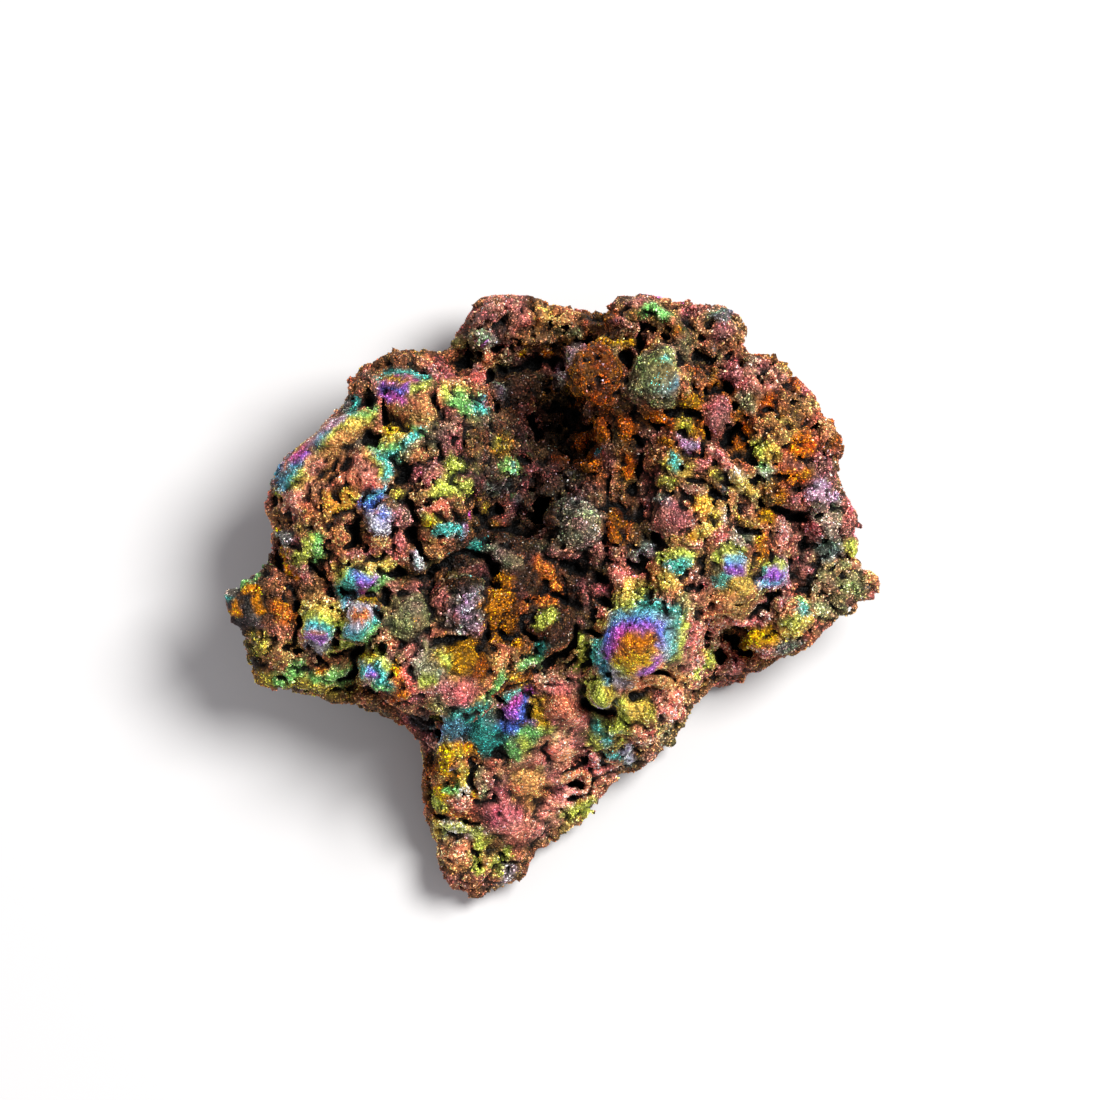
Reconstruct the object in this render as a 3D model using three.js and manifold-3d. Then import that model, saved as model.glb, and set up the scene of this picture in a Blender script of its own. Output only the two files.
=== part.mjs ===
// A hand specimen of rough goethite: one intergrown mass of iron oxide-hydroxide with a lumpy upper face,
// a deep hollow in its middle, a spongy back right quarter, a sloping spur at the front and a small horn
// on the right. It lies on a flat patch of its underside.
//
// The mass is described as a distance field: a body between a plan outline and the heights of its upper
// face, with domed lumps joined to it and pits taken out of it. Marching cubes turns the field into a
// closed surface.
//
// Millimetres, +Z up. The origin is on the resting plane, under the middle of the mass.
// +X points to the horn and -Y to the spur.

import * as THREE from "three";
import { mergeVertices } from "three/addons/utils/BufferGeometryUtils.js";
import { edgeTable, triTable } from "three/addons/objects/MarchingCubes.js";
import Module from "manifold-3d";

const wasm = await Module();
wasm.setup();

// ---------------------------------------------------------------------------------------------------
// Driving dimensions

const CELL = 1.98; // edge of a marching cube
const FIELD_LOW = new THREE.Vector3(-42, -39, -7); // corner of the box of cubes
const FIELD_HIGH = new THREE.Vector3(42, 39, 41);
const SHORTEST_EDGE_SHARE = 0.12; // a surface vertex keeps this share of a cube's edge to each corner
const UPPER_SHAPE = { plan: 5.4, height: 2.2 }; // exponents of the body's profile: larger is squarer
const LOWER_SHAPE = { plan: 2.3, height: 2 };
const FOOT_DEPTH = 1.3; // how far the underside is drawn below the resting plane before it is cut flat
const DEEPEST = 9; // distances are held to this many millimetres
const LUMP_BLEND = 1.4; // radius of the fillet where a lump meets the body
const PIT_BLEND = 0.5;
const ROUGHNESS = [
  { size: 13, height: 1.6 },
  { size: 5.5, height: 0.8 },
  { size: 3, height: 0.45 },
];

// Plan outline, anticlockwise from the horn's root. Each point is [x, y, height of the widest girth].
const OUTLINE = [
  [33.6, 4.2, 15], [36.4, 7.2, 16], [35.4, 10.6, 17], [32.4, 14, 18], [31.8, 17.6, 18],
  [29.8, 21, 17], [26.6, 22.4, 16], [24.8, 25, 16], [21.8, 27, 16], [20, 31.8, 15],
  [18.2, 33.4, 15], [12.6, 33.6, 15], [7.4, 33.6, 15], [1, 35.2, 14], [-4.4, 36.4, 14],
  [-8.6, 35, 14], [-11.2, 31.2, 14], [-12.9, 28.8, 15], [-16.6, 28.3, 18], [-19.2, 27.4, 19],
  [-21.6, 22, 19], [-23, 18.8, 20], [-28.6, 16.2, 20], [-30.6, 14, 20], [-30.8, 9.6, 20],
  [-33.4, 4, 20], [-35.8, 0, 21], [-35.8, -4.6, 19], [-34.8, -10, 18], [-27.6, -11.6, 17],
  [-23, -12.6, 10], [-18, -14.4, 9], [-14.9, -16.4, 8], [-14.6, -19.5, 8], [-15.2, -24, 7],
  [-14.9, -28.2, 5], [-11.6, -34.8, 3], [-9.6, -36.4, 2.5], [-6, -34, 2.5], [-3, -29.9, 3],
  [2.8, -26, 3], [5.8, -21.8, 4], [7.9, -19.4, 5], [13.4, -16.4, 6], [16.4, -12.2, 7],
  [18.8, -9, 7], [22.6, -7.8, 8], [25.8, -7.6, 11], [30.2, -5.6, 13], [33.6, -1, 14],
];

// Heights of the upper face between its lumps, as [x, y, z].
const SPOT_HEIGHTS = [
  // left mass
  [-36, 0, 25], [-33, -6, 21], [-30, 4, 27], [-30, 12, 26], [-27, -3, 28], [-28, -9, 21],
  [-24, 6, 30], [-24, 14, 31], [-27, 18, 26], [-20, 22, 28], [-18, 27, 25], [-22, -8, 25],
  [-17, 10, 31], [-14, 16, 31], [-14, 22, 29], [-10, 26, 25], [-18, 2, 29], [-9, 18, 27], [-8, 12, 23],
  // hollow and its rim
  [-5, 24, 17], [-4, 16, 16], [-2, 10, 11], [1, 20, 10], [0, 27, 14], [-3, 28, 15],
  // back edge
  [-10, 30, 19], [-5, 33, 21], [1, 32, 21],
  // spongy quarter
  [6, 27, 32], [12, 26, 34], [9, 22, 29], [8, 32, 29], [16, 32, 29], [20, 33, 21], [19, 27, 31], [25, 26, 25],
  [17, 20, 31], [26, 20, 29], [31, 19, 23], [10, 19, 27], [9, 14, 23], [13, 14, 27], [22, 14, 28], [28, 14, 26],
  // right side
  [32, 10, 22], [34, 6, 18], [31, 3, 19], [32, -1, 15],
  // middle
  [3, 8, 24], [8, 9, 22], [14, 9, 27], [19, 8, 28], [24, 8, 24], [-5, 5, 24], [-1, 2, 23],
  [4, 2, 24], [-10, 3, 24], [-10, -1, 27], [-16, -2, 28], [-5, -3, 26], [0, -4, 26], [-11, -8, 27],
  [-16, -8, 26], [-5, -8, 25],
  // front right
  [9, -4, 28], [14, -2, 27], [20, 2, 27], [26, 3, 25], [28, -2, 21], [14, -8, 22], [17, -8, 15],
  [21, -7, 9], [8, -10, 24], [10, -14, 19], [14, -14, 13], [4, -10, 22], [5, -16, 18],
  // spur
  [-9, -14, 20], [-4, -13, 20], [0, -14, 20], [-12, -18, 17], [-6, -19, 17], [0, -20, 14],
  [4, -21, 9], [-12, -24, 15], [-6, -25, 13], [0, -26, 8], [-11, -30, 9], [-6, -31, 7], [-10, -34, 4],
  // low crust under the left mass
  [-20, -12, 13], [-15, -14, 12],
];
const HEIGHT_FALLOFF = 3; // power of the distance that weighs the spot heights
const HEIGHT_WANDER = { size: 7, reach: 3 }; // how far noise moves a position before its height is read

// Lumps that stand on the body, each [x, y, top z, half length, half width, half height, turn in degrees].
const LUMPS = {
  left_mass: [
    [-17.8, 25.2, 30, 4.2, 2.7, 5, 0], [-16, 22.5, 33, 3.4, 2.6, 5, 0], [-20.8, 22.8, 26, 2.2, 3, 5, 0],
    [-23.6, 18.6, 31, 4, 2, 5, 24], [-28.4, 14.6, 28, 2.6, 2.6, 6, 0], [-21.6, 14.6, 34, 3.1, 3, 5, 0],
    [-26.4, 12, 32, 3.8, 2.5, 5, 20], [-30.8, 10.8, 26, 1.9, 2.6, 5, 0], [-17, 17.4, 34, 3.5, 2.3, 5, 20],
    [-11.4, 19, 33, 3.4, 3.5, 5, 0], [-10, 23, 31, 3.1, 2.4, 5, 0], [-13, 14, 33, 4, 2.2, 5, 0],
    [-13, 9.6, 33.5, 2.5, 2.8, 5, 0], [-19.6, 9, 34.5, 1.7, 2.8, 5, 0], [-25, 7.6, 31.5, 2.4, 1.9, 5, 0],
    [-28.6, 6.2, 30.5, 2.4, 2, 5, 0], [-22.4, 3, 33, 3, 1.8, 5, 0], [-22, -2.6, 33, 2.6, 3, 5, 0],
    [-26.6, -2.6, 31.5, 2.8, 3.1, 5, 0], [-20.4, -8.2, 29.5, 2.2, 2, 4, 0], [-31, -4, 26.5, 2.8, 3.4, 5, 0],
    [-33.4, 0.2, 26.5, 2.8, 2, 4, 40], [-30, -8.4, 24, 4, 2.1, 5, 0], [-26.4, -9, 23.5, 2.5, 2, 5, 0],
    [-15.8, 4.6, 33, 1.4, 1.7, 4, 0], [-8.4, 15, 28, 2.4, 3, 5, 0], [-6.4, 20.4, 24, 2.2, 2.4, 5, 0],
  ],
  middle: [
    [-10.3, -1, 31, 3.2, 3.5, 5, 0], [-16.4, -2, 31, 3.2, 3.5, 5, 0], [-11.5, -8.4, 31, 5, 4.3, 5, 0],
    [-17, -8.4, 29, 2, 3, 5, 0], [-6, 4.8, 27.5, 3.2, 1.8, 4, -30], [-5.2, 0, 28.5, 2.5, 3.2, 5, 0],
    [-0.2, -3.4, 29.5, 2.6, 3.4, 5, -15], [-5.4, -7, 28.5, 2.5, 2.1, 4, 0], [-1.5, 3.8, 26, 2.2, 2.6, 4, 0],
    [3.3, 8.2, 27.5, 3.1, 3, 5, 0], [2, 5.2, 26, 2.4, 1.1, 3, 0], [7.6, 3.2, 27.5, 1.6, 2.6, 4, 25],
    [8.3, 7.6, 25, 2.2, 2.4, 4, 0], [13.7, 9.3, 30, 2.7, 2.1, 4, 0], [18.2, 9.4, 31, 1.9, 2.8, 5, 0],
    [14.4, 4.6, 29.5, 2.4, 1.7, 4, 15],
  ],
  front_right: [
    [20.4, 2.4, 31, 4, 4.2, 5.5, 20], [25.6, 3.1, 29, 1.7, 2.4, 5, -20], [24, 7.2, 27, 1.8, 2.4, 4, 0],
    [27.8, -1.6, 25, 3, 3.4, 6, 0], [24.6, -5, 20, 3, 1.9, 5, 10], [9.8, -4.2, 31.5, 5.2, 4.2, 6, 10],
    [14.4, -1.8, 28.5, 2.6, 3.6, 5, 0], [5.8, -10.4, 27.5, 2.1, 2.5, 5, 0], [4, 0.6, 26.5, 1.7, 2, 4, 0],
    [11, -13, 22.5, 4.4, 2.8, 5, 32], [14.6, -8.8, 22.5, 2.6, 2.6, 5, 0], [20.8, -7.8, 11, 2.4, 1.3, 4, 15],
    [0.8, -11.6, 24, 2.8, 3, 5, 0],
  ],
  right_side: [
    [32.4, 9, 24, 3, 3.4, 6, 0], [31, 13.6, 24, 1.6, 2.8, 6, 0], [32, 3.6, 21.5, 2.8, 2.8, 5, 0],
    [31.8, -1, 17.5, 2.4, 2, 5, 40],
  ],
  spongy_quarter: [
    [12.6, 25.3, 35.4, 3.8, 4, 6.5, 0], [5.2, 26.2, 34, 4.8, 4.2, 7, 0], [18.6, 21.3, 34.5, 1.6, 2.2, 4, 0],
    [22.4, 23.6, 31.5, 2.6, 2.4, 5, 0], [18.8, 31, 25.5, 1.7, 1.7, 5, 0], [8.6, 32, 30.5, 3.4, 2.1, 5, 0],
    [14.4, 31.2, 31, 3.2, 2.4, 5, 0], [24.6, 25, 25, 1.6, 1.6, 5, 0], [27.6, 21, 27, 2, 1.9, 5, 0],
    [29.8, 18.4, 27, 2, 2, 5, 0], [25.4, 19, 32, 3.6, 3.2, 5, 0], [27.4, 13.6, 30.5, 3.2, 2.4, 5, 0],
    [20.6, 15, 32, 2.6, 1.6, 5, -38], [15, 17, 31.5, 2.3, 1.9, 4, 0], [14.2, 14, 29, 2, 1.7, 4, 0],
  ],
  back_edge: [
    [-5.4, 33.4, 25.5, 2.5, 1.9, 5, 0], [-8.3, 32.2, 23, 1.8, 1.5, 5, 0], [-8.6, 29.8, 22.5, 1.8, 1.6, 4, 0],
    [0.4, 32.8, 25, 2.4, 1.6, 5, 0], [2.6, 30.6, 24, 2.3, 1.3, 4, 0],
  ],
  flanks: [
    [-27.4, 7, 19, 3.6, 5.2, 7, 0], [-18.6, 22.4, 18, 4, 3, 6, 0], [-26, -6, 17, 6, 3.6, 6, 0],
    [26, 19.6, 19, 3.4, 4, 7, 0], [8, 29.6, 18, 6, 3.2, 7, 0], [29, 5, 13, 4, 4, 6, 0],
    [-6, 30, 15, 4, 3.4, 6, 0], [8, -15, 13, 5, 3, 6, 30], [22, 13, 11, 7, 6, 5, 0],
    [-16, 12, 11, 8, 6, 5, 20], [-31.8, 0.6, 20, 3, 3, 6, 0],
  ],
  spur: [
    [-11.8, -21.4, 17.5, 2.3, 3.1, 7, 0], [-11.6, -25, 15.5, 2.4, 2.2, 7, 0], [-10.4, -30.2, 11, 3, 3.2, 5, 15],
    [-5.2, -31.6, 8, 2, 2, 4, 0], [-12, -17.4, 19.5, 2.2, 2.2, 8, 0], [2.8, -21, 13.5, 2, 1.6, 5, 0],
    [-20.6, -11.8, 15, 4, 1.8, 5, -22], [-16.4, -13.6, 13, 2.4, 1.8, 5, 0],
  ],
};

// Hollows, clefts and undercuts, each [x, y, mouth z, half length, half width, depth, turn in degrees].
const PITS = [
  [1.8, 20.4, 27, 3.6, 6.2, 19, 8], // main hollow, under the spongy nodule
  [-1.6, 10.8, 21, 3.2, 2.8, 13, 20], // its deepest corner
  [-4, 27, 23, 4.6, 1.8, 9, 0], // gully behind it
  [20.6, -4.4, 19, 2.9, 1.9, 12, 0], // cave under the front ledge
  [2.6, -6.4, 31, 1.2, 3, 10, -20],
  [-11.6, 5, 31, 3.6, 1.2, 8, 4],
  [-22.6, 7.2, 36, 1.6, 1.3, 8, 0],
  [-17.2, 14.2, 37, 1.2, 1.6, 8, 30],
  [20.8, 20.6, 37, 1.2, 2.8, 11, 0],
  [8.5, 26.2, 38, 1.2, 1.9, 9, 0],
  [25.6, 10.4, 33, 3.6, 1.2, 9, 14],
  [-10.6, 28.4, 25, 1.9, 1.2, 9, 30],
  [-20.6, -10.6, 29, 3.8, 1.2, 10, -20],
  [24.6, -0.6, 31, 2.2, 1.2, 10, 48],
  [-20, 6, 8, 7, 4, 12, 60], // bays in the underside
  [12, 22, 8, 7, 5, 12, -20],
  [14, -2, 7, 5, 4, 11, 20],
  [-9, -19, 4, 5, 3, 7, 80],
];

// The horn, as a tapering chain of lumps in the same form as the lumps above.
const HORN = [
  [31, 1.2, 18.4, 3.2, 2.8, 3, 12], [33.6, 1.7, 18, 2.8, 2.2, 2.4, 12],
  [35.6, 2.1, 17.6, 2.2, 1.9, 2.1, 12], [36.9, 2.6, 17.4, 1.4, 1.5, 1.7, 30],
];

// ---------------------------------------------------------------------------------------------------
// Roughness

// A repeatable number from 0 to 1 for each whole-number corner of space.
function cornerValue(ix, iy, iz) {
  let h = Math.imul(ix, 374761393) ^ Math.imul(iy, 668265263) ^ Math.imul(iz, 2147483647);
  h = Math.imul(h ^ (h >>> 13), 1274126177);
  h = Math.imul(h ^ (h >>> 15), 2246822519);
  return ((h ^ (h >>> 16)) >>> 0) / 4294967295;
}

// Smooth noise from -1 to 1 whose bumps are about `size` millimetres across.
function noise(point, size, seed = 0) {
  const scaled = [point.x / size + seed * 17.3, point.y / size - seed * 9.1, point.z / size + seed * 5.7];
  const base = scaled.map(Math.floor);
  const ease = scaled.map((v, i) => {
    const t = v - base[i];
    return t * t * (3 - 2 * t);
  });
  let sum = 0;
  for (let corner = 0; corner < 8; corner += 1) {
    const step = [corner & 1, (corner >> 1) & 1, (corner >> 2) & 1];
    const weight = step.reduce((w, s, i) => w * (s ? ease[i] : 1 - ease[i]), 1);
    sum += weight * cornerValue(base[0] + step[0], base[1] + step[1], base[2] + step[2]);
  }
  return sum * 2 - 1;
}

// ---------------------------------------------------------------------------------------------------
// The field: about the distance in millimetres from the surface, below zero inside the stone

const clampToDeepest = (distance) => THREE.MathUtils.clamp(distance, -DEEPEST, DEEPEST);

const outlineByAngle = OUTLINE.map(([x, y, girth]) => ({
  angle: Math.atan2(y, x),
  radius: Math.hypot(x, y),
  girth,
})).sort((a, b) => a.angle - b.angle);

// Outline radius and girth height in a plan direction.
function outlineAt(angle) {
  const after = Math.max(0, outlineByAngle.findIndex((p) => p.angle > angle));
  const b = outlineByAngle[after];
  const a = outlineByAngle.at(after - 1);
  const turn = 2 * Math.PI;
  const t = ((angle - a.angle + turn) % turn) / ((b.angle - a.angle + turn) % turn);
  return {
    radius: THREE.MathUtils.lerp(a.radius, b.radius, t),
    girth: THREE.MathUtils.lerp(a.girth, b.girth, t),
  };
}

// The height between the lumps, as the mean of the spot heights weighed by nearness.
function upperHeight(x, y) {
  const place = new THREE.Vector3(x, y, 0);
  const movedX = x + HEIGHT_WANDER.reach * noise(place, HEIGHT_WANDER.size, 7);
  const movedY = y + HEIGHT_WANDER.reach * noise(place, HEIGHT_WANDER.size, 8);
  let total = 0;
  let weights = 0;
  for (const [spotX, spotY, spotZ] of SPOT_HEIGHTS) {
    const weight = 1 / (Math.hypot(movedX - spotX, movedY - spotY) ** HEIGHT_FALLOFF + 0.5);
    total += weight * spotZ;
    weights += weight;
  }
  return total / weights;
}

// What the body's field needs to know of one plan position.
function columnAt(x, y) {
  const { radius, girth } = outlineAt(Math.atan2(y, x));
  return { radius, girth, plan: Math.hypot(x, y) / radius, rise: Math.max(1, upperHeight(x, y) - girth) };
}

// A rounded solid that fills the outline at its girth and narrows above and below it.
function bodyDistance(z, { radius, girth, plan, rise }) {
  const shape = z >= girth ? UPPER_SHAPE : LOWER_SHAPE;
  const reach = z >= girth ? rise : girth + FOOT_DEPTH;
  const height = Math.abs(z - girth) / reach;
  const planSlope = (shape.plan * plan ** (shape.plan - 1)) / radius;
  const heightSlope = (shape.height * height ** (shape.height - 1)) / reach;
  const slope = Math.max(Math.hypot(planSlope, heightSlope), 1e-3);
  return clampToDeepest((plan ** shape.plan + height ** shape.height - 1) / slope);
}

// Lumps and pits are ellipsoids that hang from their top.
function ellipsoidDistance(point, [x, y, top, halfLength, halfWidth, halfHeight, turn]) {
  const angle = THREE.MathUtils.degToRad(turn);
  const dx = point.x - x;
  const dy = point.y - y;
  const along = (dx * Math.cos(angle) + dy * Math.sin(angle)) / halfLength;
  const across = (dy * Math.cos(angle) - dx * Math.sin(angle)) / halfWidth;
  const up = (point.z - top + halfHeight) / halfHeight;
  return clampToDeepest((Math.hypot(along, across, up) - 1) * Math.min(halfLength, halfWidth, halfHeight));
}

// The lesser of two distances, with a fillet of about the given radius where they cross.
function joined(a, b, fillet) {
  const overlap = Math.max(0, 1 - Math.abs(a - b) / fillet);
  return Math.min(a, b) - (fillet * overlap * overlap) / 4;
}

const allLumps = [...Object.values(LUMPS).flat(), ...HORN];
const allPits = PITS.map(([x, y, mouth, halfLength, halfWidth, depth, turn]) => [
  x, y, mouth, halfLength, halfWidth, depth / 2, turn,
]);

function distanceAt(point, column) {
  let distance = bodyDistance(point.z, column);
  for (const lump of allLumps) distance = joined(distance, ellipsoidDistance(point, lump), LUMP_BLEND);
  for (const pit of allPits) distance = -joined(-distance, ellipsoidDistance(point, pit), PIT_BLEND);
  ROUGHNESS.forEach(({ size, height }, i) => {
    distance += height * noise(point, size, i);
  });
  return distance;
}

// ---------------------------------------------------------------------------------------------------
// Marching cubes

// Corners of a cube and the corners that its edges join, in the order of three.js's tables.
const CORNERS = [
  [0, 0, 0], [1, 0, 0], [1, 1, 0], [0, 1, 0], [0, 0, 1], [1, 0, 1], [1, 1, 1], [0, 1, 1],
];
const EDGES = [
  [0, 1], [1, 2], [3, 2], [0, 3], [4, 5], [5, 6], [7, 6], [4, 7], [0, 4], [1, 5], [2, 6], [3, 7],
];
const MOST_INDICES = 16; // entries of triTable for each kind of cube

// The field sampled at every corner of the box of cubes.
function sampledField() {
  const size = FIELD_HIGH.clone().sub(FIELD_LOW);
  const count = size.toArray().map((length) => Math.ceil(length / CELL) + 1);
  const values = new Float32Array(count[0] * count[1] * count[2]);
  const index = (i, j, k) => (k * count[1] + j) * count[0] + i;
  for (let i = 0; i < count[0]; i += 1) {
    for (let j = 0; j < count[1]; j += 1) {
      const x = FIELD_LOW.x + i * CELL;
      const y = FIELD_LOW.y + j * CELL;
      const column = columnAt(x, y);
      for (let k = 0; k < count[2]; k += 1) {
        values[index(i, j, k)] = distanceAt(new THREE.Vector3(x, y, FIELD_LOW.z + k * CELL), column);
      }
    }
  }
  return { count, values, index };
}

// The surface where the field is zero, as an indexed geometry with one vertex for each crossed edge.
function surfaceOf({ count, values, index }) {
  const positions = [];
  const triangles = [];
  const vertexOfEdge = new Map();

  function vertexOn(from, to) {
    const a = index(...from);
    const b = index(...to);
    const key = `${a},${b}`;
    if (!vertexOfEdge.has(key)) {
      const crossing = values[a] / (values[a] - values[b]);
      const t = THREE.MathUtils.clamp(crossing, SHORTEST_EDGE_SHARE, 1 - SHORTEST_EDGE_SHARE);
      vertexOfEdge.set(key, positions.length / 3);
      from.forEach((start, axis) => {
        positions.push(FIELD_LOW.getComponent(axis) + CELL * (start + t * (to[axis] - start)));
      });
    }
    return vertexOfEdge.get(key);
  }

  for (let i = 0; i < count[0] - 1; i += 1) {
    for (let j = 0; j < count[1] - 1; j += 1) {
      for (let k = 0; k < count[2] - 1; k += 1) {
        const corners = CORNERS.map(([x, y, z]) => [i + x, j + y, k + z]);
        const kind = corners.reduce((bits, c, bit) => bits | (values[index(...c)] > 0 ? 1 << bit : 0), 0);
        if (edgeTable[kind] === 0) continue;
        for (let n = kind * MOST_INDICES; triTable[n] >= 0; n += 1) {
          const [from, to] = EDGES[triTable[n]];
          triangles.push(vertexOn(corners[from], corners[to]));
        }
      }
    }
  }
  const geometry = new THREE.BufferGeometry();
  geometry.setAttribute("position", new THREE.Float32BufferAttribute(positions, 3));
  geometry.setIndex(triangles);
  return geometry;
}

// ---------------------------------------------------------------------------------------------------
// Solids

// The closed solid of a three.js geometry.
function solidOf(geometry) {
  const bare = geometry.clone();
  bare.deleteAttribute("normal");
  bare.deleteAttribute("uv");
  const merged = mergeVertices(bare, 1e-4);
  return new wasm.Manifold(
    new wasm.Mesh({
      numProp: 3,
      vertProperties: new Float32Array(merged.attributes.position.array),
      triVerts: new Uint32Array(merged.index.array),
    }),
  );
}

// Everything above the resting plane, so that the underside has one flat patch to lie on.
function aboveFloor() {
  const width = FIELD_HIGH.x - FIELD_LOW.x;
  const block = new THREE.BoxGeometry(width, width, FIELD_HIGH.z);
  block.translate(0, 0, FIELD_HIGH.z / 2);
  return solidOf(block);
}

// The largest body of a solid: crumbs that a pit has cut loose are left out.
function largestBody(solid) {
  return solid.decompose().reduce((a, b) => (a.volume() > b.volume() ? a : b));
}

function geometryOf(solid) {
  const mesh = solid.getMesh();
  const positions = new Float32Array(mesh.numVert * 3);
  for (let i = 0; i < mesh.numVert; i += 1) {
    positions.set(mesh.vertProperties.subarray(i * mesh.numProp, i * mesh.numProp + 3), i * 3);
  }
  const geometry = new THREE.BufferGeometry();
  geometry.setAttribute("position", new THREE.BufferAttribute(positions, 3));
  geometry.setIndex(new THREE.BufferAttribute(new Uint32Array(mesh.triVerts), 1));
  geometry.computeVertexNormals();
  return geometry;
}

// The geometry moved in plan, so that its bounding box is centred on the origin.
function centred(geometry) {
  geometry.computeBoundingBox();
  const middle = geometry.boundingBox.getCenter(new THREE.Vector3());
  return geometry.translate(-middle.x, -middle.y, 0);
}

const stone = largestBody(solidOf(surfaceOf(sampledField())));
const goethite = new THREE.Mesh(
  centred(geometryOf(largestBody(stone.intersect(aboveFloor())))),
  new THREE.MeshStandardMaterial({ color: 0x7a5646, roughness: 0.7, metalness: 0.25 }),
);
goethite.name = "goethite";

const group = new THREE.Group();
group.add(goethite);
export default group;
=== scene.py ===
"""Rough iridescent goethite: the crust, its grains, the materials, the light and the camera.

Lengths inside this script are millimetres in the CAD frame until a mesh is made, which is in metres.
"""

import itertools
import math

import bpy
import numpy as np
import openvdb
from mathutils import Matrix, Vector


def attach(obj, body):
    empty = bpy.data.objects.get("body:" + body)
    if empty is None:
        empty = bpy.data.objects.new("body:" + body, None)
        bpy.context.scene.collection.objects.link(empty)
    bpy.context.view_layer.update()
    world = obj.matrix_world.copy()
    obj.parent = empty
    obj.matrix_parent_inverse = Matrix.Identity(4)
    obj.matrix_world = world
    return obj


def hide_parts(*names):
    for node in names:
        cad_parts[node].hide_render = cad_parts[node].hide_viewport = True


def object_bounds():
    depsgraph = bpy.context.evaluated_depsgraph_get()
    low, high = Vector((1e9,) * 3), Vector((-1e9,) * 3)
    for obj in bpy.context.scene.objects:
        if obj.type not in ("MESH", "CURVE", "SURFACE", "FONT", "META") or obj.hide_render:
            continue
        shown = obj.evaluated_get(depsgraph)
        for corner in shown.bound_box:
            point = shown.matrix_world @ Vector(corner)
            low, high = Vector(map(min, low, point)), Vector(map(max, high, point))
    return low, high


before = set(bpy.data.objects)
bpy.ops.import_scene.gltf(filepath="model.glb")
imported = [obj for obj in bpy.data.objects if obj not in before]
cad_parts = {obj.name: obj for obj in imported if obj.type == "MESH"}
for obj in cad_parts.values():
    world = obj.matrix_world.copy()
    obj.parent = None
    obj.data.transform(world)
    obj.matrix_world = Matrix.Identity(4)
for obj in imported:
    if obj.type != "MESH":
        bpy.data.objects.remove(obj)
cad_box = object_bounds()

MM = 0.001


def add_object(name, data):
    obj = bpy.data.objects.new(name, data)
    bpy.context.scene.collection.objects.link(obj)
    return obj


# --------------------------------------------------------------------------------------------------
# Camera, first of all: it looks straight down, with +Y up in the picture

LENS = 300.0
SENSOR = 36.0
FRAME_WIDTH = 127.9  # width of the view at the height REFERENCE_Z
REFERENCE_Z = 20.0
AIM = (-0.35, 5.70)
CLIP = (0.01, 20.0)  # metres


def make_camera():
    data = bpy.data.cameras.new("camera")
    data.lens = LENS
    data.sensor_width = SENSOR
    data.clip_start, data.clip_end = CLIP
    camera = add_object("camera", data)
    height = REFERENCE_Z + LENS * FRAME_WIDTH / SENSOR
    camera.location = (AIM[0] * MM, AIM[1] * MM, height * MM)
    bpy.context.scene.camera = camera


make_camera()

# --------------------------------------------------------------------------------------------------
# Noise on arrays of points

TABLE_SIZE = 64
CELL_MARGIN = 0.1  # a cell's point keeps this far from the cell's sides, in cells
NOISE_SHIFT = 7.31  # cells between the noise of one seed and the next
CELL_SHIFT = 5.17
random_table = np.random.default_rng(11).random((TABLE_SIZE,) * 3).astype(np.float32)
jitter_table = np.random.default_rng(12).random((TABLE_SIZE,) * 3 + (3,))
jitter_table = (CELL_MARGIN + (1 - 2 * CELL_MARGIN) * jitter_table).astype(np.float32)


def table_at(table, cell):
    cell = cell & (TABLE_SIZE - 1)
    return table[cell[:, 0], cell[:, 1], cell[:, 2]]


def corner_weights(f):
    """Each corner of a cell, with its weight at points that lie at the fractions f of their cells."""
    for corner in itertools.product((0, 1), repeat=3):
        weight = np.ones(len(f), f.dtype)
        for axis in range(3):
            weight = weight * (f[:, axis] if corner[axis] else 1 - f[:, axis])
        yield np.array(corner, np.int32), weight


def noise(points, size, seed):
    """Smooth noise from -1 to 1 with features of the given size."""
    q = points / size + seed * NOISE_SHIFT
    cell = np.floor(q).astype(np.int32)
    f = (q - cell).astype(np.float32)
    total = np.zeros(len(points), np.float32)
    for corner, weight in corner_weights(f * f * (3 - 2 * f)):
        total += weight * table_at(random_table, cell + corner)
    return total * 2 - 1


def layered(points, size, seed, octaves=3, falloff=0.5):
    """Several sizes of noise together, each half the size of the last."""
    total = noise(points, size, seed)
    for octave in range(1, octaves):
        total = total + falloff**octave * noise(points, size / 2**octave, seed + octave)
    return total


def cells(points, size, seed):
    """Distances to the nearest and second nearest point of a jittered grid, and the nearest's own number."""
    q = points / size + seed * CELL_SHIFT
    low = np.floor(q - 0.5).astype(np.int32)
    nearest = np.full(len(points), 9.0, np.float32)
    second = nearest.copy()
    own = np.zeros(len(points), np.float32)
    for corner in itertools.product((0, 1), repeat=3):
        cell = low + np.array(corner, np.int32)
        d = ((q - cell - table_at(jitter_table, cell)) ** 2).sum(1).astype(np.float32)
        closer = d < nearest
        second = np.where(closer, nearest, np.minimum(second, d))
        own = np.where(closer, table_at(random_table, cell), own)
        nearest = np.minimum(nearest, d)
    return np.sqrt(nearest) * size, np.sqrt(second) * size, own


def smoothstep(low, high, value):
    t = np.clip((value - low) / (high - low), 0, 1)
    return t * t * (3 - 2 * t)


def turned_plan(dx, dy, turn):
    """Steps in x and y as steps along and across a direction turned by degrees."""
    a = math.radians(turn)
    return dx * math.cos(a) + dy * math.sin(a), dy * math.cos(a) - dx * math.sin(a)


def ellipses(points, areas, edge=1.0):
    """1 inside any of the ellipses (x, y, half length, half width, turn), fading to 0 over their edge."""
    best = np.zeros(len(points), np.float32)
    for x, y, half_length, half_width, turn in areas:
        along, across = turned_plan(points[:, 0] - x, points[:, 1] - y, turn)
        inside = (1 - np.hypot(along / half_length, across / half_width)) * min(half_length, half_width)
        best = np.maximum(best, smoothstep(-edge, edge, inside))
    return best


# --------------------------------------------------------------------------------------------------
# The forms of the upper face, as listed

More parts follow.
